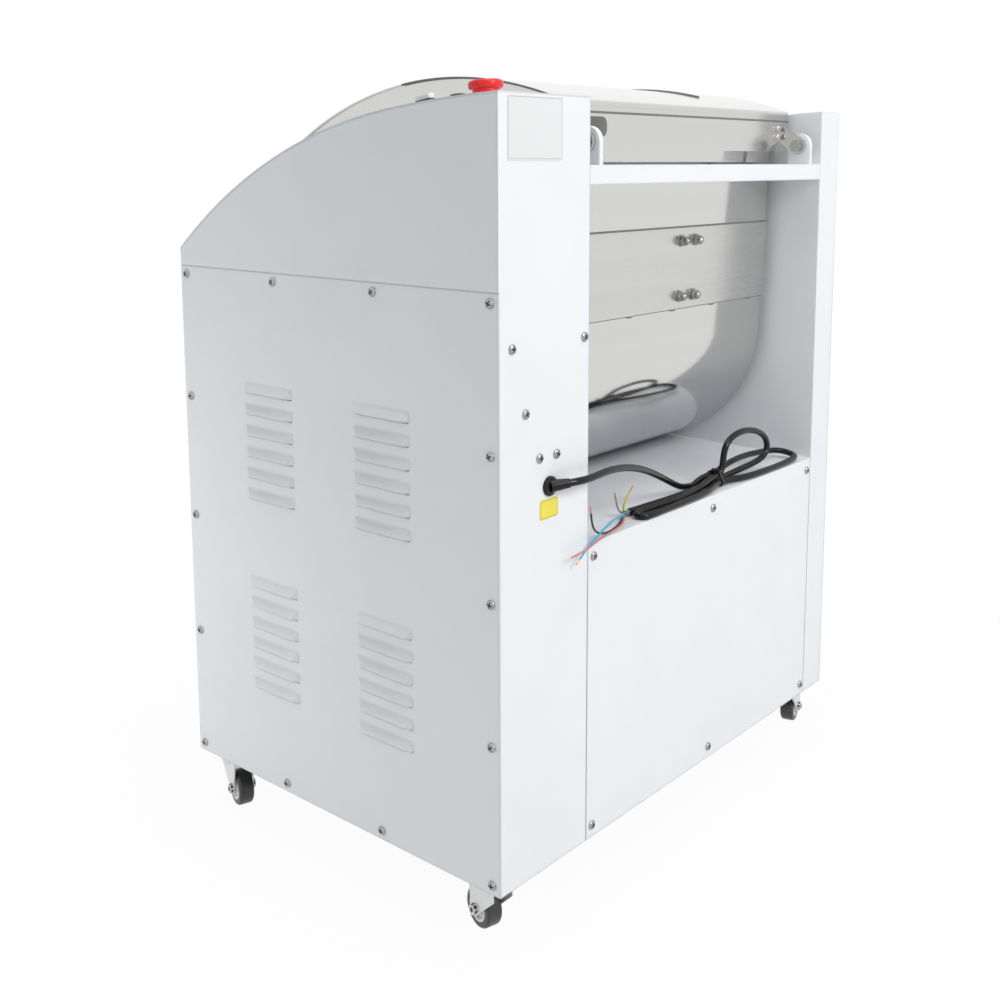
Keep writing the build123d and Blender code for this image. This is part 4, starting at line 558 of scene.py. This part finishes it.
def copies(model, places):
    """Copies of a piece at their places, each with its own mesh; the model goes."""
    made = []
    for at, axis, roll in places:
        twin = model.copy()
        twin.data = model.data.copy()
        scene.collection.objects.link(twin)
        stand(twin, at, axis, roll)
        made.append(twin)
    bpy.data.objects.remove(model)
    return made


def joined(pieces, name):
    """Put each piece's place into its mesh and make them one piece."""
    clear_selection()
    for piece in pieces:
        piece.select_set(True)
    bpy.context.view_layer.objects.active = pieces[0]
    bpy.ops.object.transform_apply(location=True, rotation=True, scale=True)
    if len(pieces) > 1:
        bpy.ops.object.join()
    pieces[0].name = pieces[0].data.name = name
    return pieces[0]


SMOOTH_ANGLE = math.radians(35)


def fitted(piece, material, body, slot, *replaced):
    """Give a new piece its finish, its body and the node that it stands in for."""
    clear_selection()
    piece.select_set(True)
    bpy.context.view_layer.objects.active = piece
    bpy.ops.object.shade_smooth_by_angle(angle=SMOOTH_ANGLE)
    if not piece.data.materials:
        piece.data.materials.append(material)
    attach(piece, body)
    if replaced:
        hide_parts(*replaced)
    return piece


# ---------------------------------------------------------------- cover screws

SIDE_FACE, REAR_FACE = 0.388, 0.285
SIDE_ROWS = (0.086, 0.2525, 0.419, 0.5855, 0.752)
PANEL_ROWS = (0.090, 0.4345)
PANEL_COLUMNS = (-0.320, -0.051, 0.218)
BACK_PLACES = ((0.2389, 0.7015), (0.366, 0.7015), (0.3436, 0.627), (0.2895, 0.573), (0.3195, 0.573))
SCREW_STEPS = [
    (0.004, 0.003), (0, 0.00575), (0.0008, 0.00575), (0.0010, 0.0054),
    (0.0008, 0.0045), (0.0005, 0.0030), (0.0002, 0.0016),
]
RECESS_MIDDLE, RECESS_SIZE = (0, 0, 0.0028), (0.0074, 0.0016, 0.003)
RECESS_FLOOR, RECESS_TOP, RECESS_REACH = 0.0006, 0.0024, 0.0038
SCREW_TURN = math.radians(37)  # from each screw to the next, so that no two stand alike


def screw_places():
    """Seat and axis of every cover screw."""
    side = [(y, z) for y in (-0.273, 0.273) for z in SIDE_ROWS]
    side += [(y, z) for y in (-0.091, 0.091) for z in (SIDE_ROWS[0], SIDE_ROWS[-1])]
    seats = [((way * SIDE_FACE, y, z), (way, 0, 0)) for way in (1, -1) for y, z in side]
    panel = [(x, z) for x in PANEL_COLUMNS for z in PANEL_ROWS]
    seats += [((x, way * REAR_FACE, z), (0, way, 0)) for way in (1, -1) for x, z in panel]
    return seats + [((x, REAR_FACE, z), (0, 1, 0)) for x, z in BACK_PLACES]


def cross_recess(screw):
    """Cut a tapered cross into a screw's head."""
    for turn in (0, 90):
        clear_selection()
        bpy.ops.mesh.primitive_cube_add(size=1, location=RECESS_MIDDLE)
        cutter = started("recess_cutter")
        bpy.ops.transform.resize(value=RECESS_SIZE, center_override=RECESS_MIDDLE)
        bpy.ops.mesh.bevel(offset=0.0003, segments=1, affect="EDGES")
        bpy.ops.transform.rotate(value=math.radians(turn), orient_axis="Z", center_override=(0, 0, 0))
        closed()
        clear_selection()
        screw.select_set(True)
        bpy.context.view_layer.objects.active = screw
        cut = screw.modifiers.new("recess", "BOOLEAN")
        cut.operation = "DIFFERENCE"
        cut.solver = "EXACT"
        cut.object = cutter
        bpy.ops.object.modifier_apply(modifier=cut.name)
        bpy.data.objects.remove(cutter)


def paint_recess_shade(screw):
    """Paint shade into a screw's cross: the faces inside it get a darker material, painted shade where the
    recess lies in shadow.
    """
    screw.data.materials.append(screw_zinc)
    screw.data.materials.append(recess_painted_shade)
    for face in screw.data.polygons:
        middle = face.center
        near = math.hypot(middle.x, middle.y) < RECESS_REACH
        face.material_index = 1 if near and RECESS_FLOOR < middle.z < RECESS_TOP else 0


# painted shade for the inside of each screw's cross
recess_painted_shade = bright_metal("screw_recess_painted_shade", (0.10, 0.10, 0.10), 0.4, (0.06, 0.06, 0.06))
screw = turned("cover_screw", 0.003, SCREW_STEPS, 28, -0.004)
cross_recess(screw)
paint_recess_shade(screw)
screws = copies(screw, [(at, axis, SCREW_TURN * i) for i, (at, axis) in enumerate(screw_places())])
fitted(joined(screws, "cross_recess_screws"), screw_zinc, "frame", "zinc", "cover_screws")

# ---------------------------------------------------------------- cover seams

SEAM_LOW, SEAM_HIGH, SEAM_HALF = 0.7630, 0.7642, 0.2835
SEAM_INNER, SEAM_OUTER = 0.3858, 0.3876
for way, side in ((1, "drive"), (-1, "idle")):
    x0, x1 = sorted((way * SEAM_INNER, way * SEAM_OUTER))
    filler = bar(side + "_seam_filler", (x0, -SEAM_HALF, SEAM_LOW), (x1, SEAM_HALF, SEAM_HIGH), 0.0002)
    fitted(filler, white_coat, "frame", "white_coat")

# ---------------------------------------------------------------- blank plates on the drive tower's back

PLATE_THICK, PLATE_CORNER, LINE_WIDTH = 0.0006, 0.0025, 0.0006


def blank_plate(name, x0, x1, z0, z1, margin, face, line):
    """A thin plate with rounded corners and a printed line inside its edge."""
    middle = ((x0 + x1) / 2, REAR_FACE, (z0 + z1) / 2)
    plate = rounded_plate(name, middle, x1 - x0, z1 - z0, PLATE_THICK, PLATE_CORNER, 5)
    plate.data.materials.append(face)
    plate.data.materials.append(line)
    bpy.ops.mesh.inset(thickness=margin)
    bpy.ops.mesh.inset(thickness=LINE_WIDTH)
    bpy.ops.mesh.select_more()
    plate.active_material_index = 1
    bpy.ops.object.material_slot_assign()
    bpy.ops.mesh.select_less()
    plate.active_material_index = 0
    bpy.ops.object.material_slot_assign()
    closed()
    return fitted(plate, face, "frame", "grey_plastic")


plate_white = moulded("plate_white_film", (0.745, 0.75, 0.755), 0.55, 0.00001, FINE_GRAIN, 0.996, shine=0.3)
plate_line = moulded("plate_grey_line", (0.42, 0.43, 0.45), 0.4, 0.00001, FINE_GRAIN)
tag_yellow = moulded("tag_yellow_film", (0.86, 0.73, 0.085), 0.34, 0.00001, FINE_GRAIN, 0.95)
tag_line = moulded("tag_dark_line", (0.33, 0.27, 0.06), 0.4, 0.00001, FINE_GRAIN)
blank_plate("blank_rating_plate", 0.280, 0.3728, 0.9023, 0.9707, 0.0016, plate_white, plate_line)
blank_plate("blank_cable_tag", 0.287, 0.319, 0.5005, 0.5235, 0.0012, tag_yellow, tag_line)

# ---------------------------------------------------------------- painted shadow lines on the lid and doubler, a dark strip across the lid, a dark seam at the doubler's foot

LID_AXIS = (0.0513, 0.4486)  # y and z
LID_R = 0.5564


def lid_strip(name, x0, x1, low, high, first, last):
    """A strip bent round the lid: heights above its face, angles in degrees from its crest to the rear."""
    clear_selection()
    centre = ((x0 + x1) / 2, *LID_AXIS)
    middle = (centre[0], LID_AXIS[0], LID_AXIS[1] + LID_R + (low + high) / 2)
    bpy.ops.mesh.primitive_plane_add(size=1, location=middle, rotation=(math.radians(90), 0, 0))
    strip = started(name)
    bpy.ops.transform.resize(value=(x1 - x0, 1, high - low), center_override=middle)
    bpy.ops.transform.rotate(value=math.radians(first), orient_axis="X", center_override=centre)
    bpy.ops.mesh.spin(steps=36, angle=math.radians(last - first), center=centre, axis=(1, 0, 0))
    mended()
    bpy.ops.mesh.select_all(action="DESELECT")
    bpy.ops.mesh.select_mode(type="EDGE")
    bpy.ops.mesh.edges_select_sharp(sharpness=math.radians(60))
    bpy.ops.mesh.bevel(offset=0.0005, segments=2, affect="EDGES")
    closed()
    return fitted(strip, dark_seam_and_painted_shadow_strip, "lid", "rubber")


# dark strips standing in for shade: the lid's end and hem strips are painted shadow under its overhanging
# sheet, the doubler's top strip is painted shadow in the gap along its edge; the strip across the lid is a
# thin dark line, and the foot strip a dark seam
dark_seam_and_painted_shadow_strip = moulded("dark_seam_and_painted_shadow_strip", (0.17, 0.168, 0.16), 0.5, 0.00003, 1500.0)
lid_strip("lid_end_painted_shadow", 0.2212, 0.2236, -0.0022, 0.0004, -8.0, 18.0)
lid_strip("lid_top_dark_strip", -0.1712, -0.1688, -0.0004, 0.0024, -12.0, 12.8)
# painted shadow under the lid's hem and along the doubler's top edge; a dark seam at the doubler's foot
for name, low, high, soft, body in (
        ("lid_hem_painted_shadow", (-0.3245, 0.2330, 0.9588), (0.2225, 0.2347, 0.9616), 0.0005, "lid"),
        ("doubler_top_painted_shadow", (-0.3148, 0.2045, 0.8104), (0.2128, 0.2078, 0.8130), 0.0007, "bowl"),
        ("doubler_foot_seam", (-0.3148, 0.1996, 0.6976), (0.2128, 0.2026, 0.6990), 0.0004, "bowl")):
    fitted(bar(name, low, high, soft), dark_seam_and_painted_shadow_strip, body, "rubber")

# ---------------------------------------------------------------- tack welds on the bowl's doubler

WELD_Y, WELD_Z = 0.2013, 0.6976
WELD_PLACES = (0.1341, 0.0317, -0.0707, -0.1731, -0.2755)
WELD_STEPS = [
    (0.0008, 0.0013), (0.0012, 0.0018), (0.0012, 0.0015), (0.0012, 0.0019), (0.0012, 0.0015),
    (0.0012, 0.0019), (0.0012, 0.0015), (0.0012, 0.0018), (0.0008, 0.0013), (0.0004, 0.0005),
]
bead = turned("tack_weld", 0.0005, WELD_STEPS, 16, -0.0052)
weld_steel = bright_metal("weld_steel", (0.30, 0.29, 0.27), 0.35, (0.22, 0.21, 0.20), 400.0)
welds = copies(bead, [((x, WELD_Y, WELD_Z), (1, 0, 0), 0.0) for x in WELD_PLACES])
fitted(joined(welds, "doubler_tack_welds"), weld_steel, "bowl", "stainless")

# ---------------------------------------------------------------- selector and start button

pointer_white = moulded("pointer_white", (0.78, 0.78, 0.775), 0.3, 0.00001, FINE_GRAIN)
SELECTOR_AT, SELECTOR_UP = (0.309, 0.104, 0.957587), (0, -0.1526, 0.988288)
START_AT, START_UP = (0.309, 0.156, 0.964179), (0, -0.108119, 0.994138)
CROWN_STEPS = [(0.0078, 0.0098), (0.0012, 0.0092), (0.0007, 0.0078), (0.0003, 0.0040)]
for name, half_x, half_y, low, high, material, slot in (
        ("selector_skirt", 0.0054, 0.0122, 0.0100, 0.0156, knob_black, "black_plastic"),
        ("selector_cap", 0.0050, 0.0120, 0.0150, 0.0214, pointer_white, "grey_plastic")):
    cap = bar(name, (-half_x, -half_y, low), (half_x, half_y, high), 0.0016)
    stand(cap, SELECTOR_AT, SELECTOR_UP)
    fitted(joined([cap], name), material, "selector", slot)
crown = turned("start_crown", 0.0098, CROWN_STEPS, 40, 0.0038)
stand(crown, START_AT, START_UP)
fitted(joined([crown], "start_crown"), start_grey, "start_push", "black_plastic")

# ---------------------------------------------------------------- lid hinge cheek, bolt head and leaf

PIVOT = (0.264, 0.924)  # y and z
CHEEK_X, HEAD_X = 0.2098, 0.2134
HEAD_STEPS = [(0.0044, 0.0082), (0.0010, 0.0070), (0, 0.0040), (-0.0022, 0.0034)]
LEAF_MIDDLE = (0.1560, 0.2345, 0.9430)
LEAF_WIDTH, LEAF_HEIGHT, LEAF_THICK, LEAF_CORNER = 0.046, 0.024, 0.0022, 0.0095

cheek = turned("hinge_cheek", 0.0130, [(0.0032, 0.0130), (0.0006, 0.0124)], 40)
stand(cheek, (CHEEK_X, *PIVOT), (1, 0, 0))
arm = bar("hinge_cheek_arm", (CHEEK_X, 0.2345, 0.9240), (0.2136, 0.2640, 0.9420), 0.0012)
fitted(joined([cheek, arm], "hinge_cheek"), bracket_steel, "lid", "stainless")
head = turned("hinge_cheek_bolt", 0.0082, HEAD_STEPS, 6)
stand(head, (HEAD_X, *PIVOT), (1, 0, 0), 0.4)
fitted(joined([head], "hinge_cheek_bolt"), painted_dark_bolt_steel, "frame", "stainless")

leaf = rounded_plate("hinge_leaf", LEAF_MIDDLE, LEAF_WIDTH, LEAF_HEIGHT, LEAF_THICK, LEAF_CORNER, 8)
bpy.ops.mesh.inset(thickness=0.0008)
bpy.ops.transform.translate(value=(0, 0.0005, 0))
closed()
fitted(leaf, painted_dark_leaf_steel, "lid", "stainless")

# ---------------------------------------------------------------- castor axle nuts

nut_black = moulded("axle_nut_black", (0.030, 0.030, 0.032), 0.32, 0.00002, 2000.0)
CASTOR_HEADINGS = {"drive_rear": 255, "drive_front": 72, "idle_rear": 195, "idle_front": 230}
CASTOR_X, CASTOR_Y = 0.356, 0.246
CASTOR_TRAIL, WHEEL_R, FORK_SIDE = 0.020, 0.025, 0.0145
NUT_STEPS = [(0.0026, 0.0068), (0.0007, 0.0060), (0, 0.0036), (0.0010, 0.0034), (0.0004, 0.0026)]
for corner, heading in CASTOR_HEADINGS.items():
    angle = math.radians(heading)
    along = Vector((math.cos(angle), math.sin(angle), 0))
    across = Vector((-math.sin(angle), math.cos(angle), 0))
    way_x, way_y = (1 if "drive" in corner else -1), (1 if "rear" in corner else -1)
    centre = Vector((way_x * CASTOR_X, way_y * CASTOR_Y, WHEEL_R)) + along * CASTOR_TRAIL
    nut = turned("axle_nut", 0.0068, NUT_STEPS, 6)
    ends = copies(nut, [(centre + across * way * FORK_SIDE, across * way, 0.3) for way in (1, -1)])
    fitted(joined(ends, "axle_nuts_" + corner), nut_black, "castor_" + corner, "black_plastic")

# ---------------------------------------------------------------- power cable

CABLE_D = 0.009
CABLE_EXIT = (0.29159, 0.294677, 0.539301)
GROMMET_AT = (0.302, REAR_FACE, 0.538)
SPOUT = Vector((-0.800761, 0.590561, 0.100095))
SPOUT_FOOT = (0.302, 0.287, 0.538)
FREE_STRETCH = [
    CABLE_EXIT, (0.2772, 0.3053, 0.5411), (0.2510, 0.3045, 0.5397),
    (0.2210, 0.3005, 0.5400), (0.1880, 0.2950, 0.5376), (0.1520, 0.2885, 0.5309),
    (0.1150, 0.2810, 0.5204), (0.0785, 0.2730, 0.5069), (0.0400, 0.2645, 0.4904),
    (0.0040, 0.2565, 0.4744), (-0.0220, 0.2513, 0.4640), (-0.0440, 0.2486, 0.4596),
]
LYING_LOOP = [
    (-0.0576, 0.2469, 0.4569), (-0.0740, 0.2492, 0.4639), (-0.0860, 0.2534, 0.4675),
    (-0.1080, 0.2535, 0.4676), (-0.1430, 0.2460, 0.4699), (-0.1900, 0.2388, 0.4704),
    (-0.2400, 0.2360, 0.4684), (-0.2957, 0.2402, 0.4641), (-0.3060, 0.2521, 0.4624),
    (-0.3060, 0.2675, 0.4600), (-0.2957, 0.2794, 0.4583), (-0.2500, 0.2816, 0.4574),
    (-0.2000, 0.2820, 0.4574), (-0.1500, 0.2790, 0.4574), (-0.1100, 0.2684, 0.4589),
    (-0.0820, 0.2686, 0.4589),
]
FOLD = [
    (-0.0480, 0.2792, 0.4574), (0.0060, 0.2830, 0.4574), (0.0540, 0.2840, 0.4574),
    (0.1041, 0.2850, 0.4574), (0.1102, 0.2746, 0.4574), (0.1041, 0.2642, 0.4574),
    (0.0540, 0.2676, 0.4574), (0.0060, 0.2712, 0.4574), (-0.0440, 0.2696, 0.4624),
    (-0.0800, 0.2636, 0.4675), (-0.1085, 0.2634, 0.4675),
]
STANDING_LOOP = [
    (-0.1083, 0.2660, 0.5035), (-0.1260, 0.2660, 0.5170), (-0.1598, 0.2660, 0.5214),
    (-0.1975, 0.2660, 0.5151), (-0.2250, 0.2660, 0.5005), (-0.2322, 0.2660, 0.4829),
    (-0.2166, 0.2660, 0.4688), (-0.1640, 0.2615, 0.4636), (-0.1100, 0.2585, 0.4590),
    (-0.0820, 0.2585, 0.4589),
]
STRIPPED_END = [
    (-0.0440, 0.2602, 0.4574), (0.0080, 0.2609, 0.4574), (0.0580, 0.2568, 0.4574),
    (0.1040, 0.2538, 0.4574),
]
FLANGE_STEPS = [
    (0.003, 0.0115), (0, 0.0084), (0.0015, 0.0084), (0, 0.0115),
    (0.0024, 0.0115), (0.0011, 0.0106), (0.0005, 0.0088), (0.0004, 0.0070),
]
SLEEVE_STEPS = [
    (0.0050, 0.0071), (0.0050, 0.0066), (0.0050, 0.0061),
    (0.0050, 0.0057), (0.0024, 0.0055), (0.0006, 0.0051),
]


def laid_line(name, points, diameter, material):
    """A cord on one smooth line that follows a route's points."""
    line = bpy.data.curves.new(name, "CURVE")
    line.dimensions = "3D"
    spline = line.splines.new("NURBS")
    spline.points.add(len(points) - 1)
    for point, place in zip(spline.points, points):
        point.co = (*place, 1.0)
    spline.order_u = 3
    spline.use_endpoint_u = True
    line.resolution_u = 6
    line.bevel_depth = diameter / 2
    line.bevel_resolution = 6
    line.use_fill_caps = True
    line.materials.append(material)
    cord = bpy.data.objects.new(name, line)
    scene.collection.objects.link(cord)
    return cord


sheath_black = moulded("cable_sheath_black", (0.006, 0.006, 0.0065), 0.15, 0.000002, 1800.0, 0.8, shine=0.30)
CABLE_ROUTE = FREE_STRETCH + LYING_LOOP + FOLD + STANDING_LOOP + STRIPPED_END
cable = laid_line("power_cable", CABLE_ROUTE, CABLE_D, sheath_black)
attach(cable, "frame")
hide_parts("power_cord", "power_cord_hank")

flange = turned("relief_flange", 0.0115, FLANGE_STEPS, 40, -0.0045)
stand(flange, GROMMET_AT, (0, 1, 0))
sleeve = turned("relief_sleeve", 0.0074, SLEEVE_STEPS, 40)
stand(sleeve, SPOUT_FOOT, SPOUT)
fitted(joined([flange, sleeve], "cable_strain_relief"), black_rubber, "frame", "rubber", "cable_grommet")

# ---------------------------------------------------------------- bare cores

CORE_D = 0.0024
TIP_RADII = (0.0009, 0.00085, 0.0009, 0.00085, 0.0009, 0.00085, 0.00095, 0.0009, 0.001, 0.0007)
# colour, length and route of each core
CORES = {
    "blue": ((0.02, 0.40, 0.68), 0.166, [
        (0.1042, 0.2563, 0.4585), (0.1121, 0.2557, 0.4585), (0.1220, 0.2600, 0.4609),
        (0.1350, 0.2690, 0.4624), (0.1530, 0.2770, 0.4664), (0.1760, 0.2850, 0.4704),
        (0.1990, 0.2900, 0.4674), (0.2210, 0.2925, 0.4604), (0.2410, 0.2935, 0.4524),
        (0.2560, 0.2935, 0.4414)]),
    "red": ((0.62, 0.20, 0.17), 0.174, [
        (0.1041, 0.2556, 0.4554), (0.1121, 0.2551, 0.4554), (0.1220, 0.2600, 0.4562),
        (0.1360, 0.2700, 0.4560), (0.1550, 0.2790, 0.4564), (0.1780, 0.2865, 0.4574),
        (0.2020, 0.2915, 0.4579), (0.2260, 0.2950, 0.4559), (0.2500, 0.2975, 0.4514),
        (0.2700, 0.2980, 0.4504)]),
    "black": ((0.020, 0.020, 0.022), 0.140, [
        (0.1039, 0.2525, 0.4551), (0.1119, 0.2519, 0.4551), (0.1210, 0.2560, 0.4543),
        (0.1340, 0.2645, 0.4541), (0.1540, 0.2730, 0.4540), (0.1770, 0.2795, 0.4542),
        (0.1990, 0.2825, 0.4564), (0.2130, 0.2825, 0.4634), (0.2180, 0.2820, 0.4744),
        (0.2190, 0.2815, 0.4864)]),
    "grey": ((0.30, 0.28, 0.33), 0.0453, [
        (0.1038, 0.2512, 0.4580), (0.1118, 0.2506, 0.4580), (0.1180, 0.2510, 0.4599),
        (0.1250, 0.2522, 0.4674), (0.1300, 0.2540, 0.4764), (0.1355, 0.2562, 0.4849)]),
    "yellow": ((0.62, 0.52, 0.05), 0.0386, [
        (0.1040, 0.2535, 0.4601), (0.1120, 0.2530, 0.4601), (0.1155, 0.2545, 0.4634),
        (0.1170, 0.2565, 0.4704), (0.1130, 0.2580, 0.4784), (0.1070, 0.2590, 0.4864)]),
}
copper = bright_metal("bare_copper", (0.72, 0.30, 0.14), 0.3, (0.60, 0.24, 0.11), 600.0)
routes = [points for _, _, points in CORES.values()]
tip_places = [(points[-1], Vector(points[-1]) - Vector(points[-2]), 0.0) for points in routes]
tip_model = turned("copper_tip", 0.0008, [(0.0009, radius) for radius in TIP_RADII], 7, -0.0006, 24)
tips = copies(tip_model, tip_places)
for (colour, (tone, length, points)), tip in zip(CORES.items(), tips):
    insulation = moulded("core_" + colour + "_insulation", tone, 0.38, 0.00001, FINE_GRAIN)
    core = laid_line("core_" + colour, points, CORE_D, insulation)
    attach(core, "frame")
    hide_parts("cord_cores")
    fitted(joined([tip], "copper_tip_" + colour), copper, "frame", "cores")

# ---------------------------------------------------------------- stage and light

FLOOR_SIZE, FLOOR_LEVEL = 24, -0.0004
FLOOR_TONE = (0.80, 0.80, 0.80)
GLOW_NEAR = 0.955  # share of glow under the machine; it is full from GLOW_END outward
GLOW_START, GLOW_END = 0.5, 1.3
SKY_TINT, SKY_STRENGTH = (0.968, 0.988, 1.0), 0.478
WHITE = (1.0, 1.0, 1.0)
LAMP_TINT = (1.0, 0.993, 0.984)


def seen_directly(tree):
    """One for what the camera sees, in mirrors and through clear pieces too; nothing for other light."""
    path = put(tree, "LightPath")
    seen = times(tree, path.outputs["Is Camera Ray"], path.outputs["Is Glossy Ray"], "MAXIMUM")
    return times(tree, seen, path.outputs["Is Transmission Ray"], "MAXIMUM")


def stage_floor():
    """A pale floor that shows white to the camera and keeps the machine's shadow."""
    bpy.ops.object.select_all(action="DESELECT")
    bpy.ops.mesh.primitive_plane_add(size=FLOOR_SIZE, location=(0, 0, FLOOR_LEVEL))
    floor = bpy.context.object
    floor.name = "studio_floor"
    material, tree, skin, place = new_finish("studio_floor_white")
    skin.inputs["Base Color"].default_value = rgba(FLOOR_TONE)
    skin.inputs["Roughness"].default_value = 0.9
    glow = put(tree, "Emission", {"Color": rgba(WHITE), "Strength": 1.0}).outputs["Emission"]
    away = put(tree, "VectorMath", {0: place}, operation="LENGTH").outputs["Value"]
    share = times(tree, seen_directly(tree), spread(tree, away, GLOW_NEAR, 1.0, GLOW_START, GLOW_END))
    mixed = put(tree, "MixShader", {0: share, 1: skin.outputs["BSDF"], 2: glow})
    tree.links.new(mixed.outputs["Shader"], tree.nodes["Material Output"].inputs["Surface"])
    floor.data.materials.append(material)


def soft_box(name, at, aim, size, power, mirrored=True):
    """A large soft lamp aimed at a point; polished steel shows it unless mirrored is off."""
    data = bpy.data.lights.new(name, "AREA")
    data.shape = "SQUARE"
    data.size = size
    data.energy = power
    data.color = LAMP_TINT
    lamp = bpy.data.objects.new(name, data)
    lamp.location = at
    lamp.rotation_euler = (Vector(aim) - Vector(at)).to_track_quat("-Z", "Y").to_euler()
    lamp.visible_glossy = mirrored
    scene.collection.objects.link(lamp)


def studio_world():
    """White to the eye and in reflections, a soft even light on the machine."""
    world = bpy.data.worlds.new("studio_world")
    world.use_nodes = True
    scene.world = world
    tree = world.node_tree
    seen = seen_directly(tree)
    backdrop = tree.nodes["Background"]
    tree.links.new(tint(tree, seen, SKY_TINT, WHITE), backdrop.inputs["Color"])
    tree.links.new(spread(tree, seen, SKY_STRENGTH, 1.0), backdrop.inputs["Strength"])


stage_floor()
studio_world()
soft_box("rear_soft_box", (0.15, 2.8, 2.3), (0, 0.2, 0.5), 1.1, 50.5)
soft_box("top_soft_box", (0.0, 0.3, 3.4), (0, 0, 0.6), 1.4, 34)
soft_box("front_soft_box", (0.95, -0.85, 0.25), (0.388, -0.2, 0.26), 0.6, 2.9, mirrored=False)
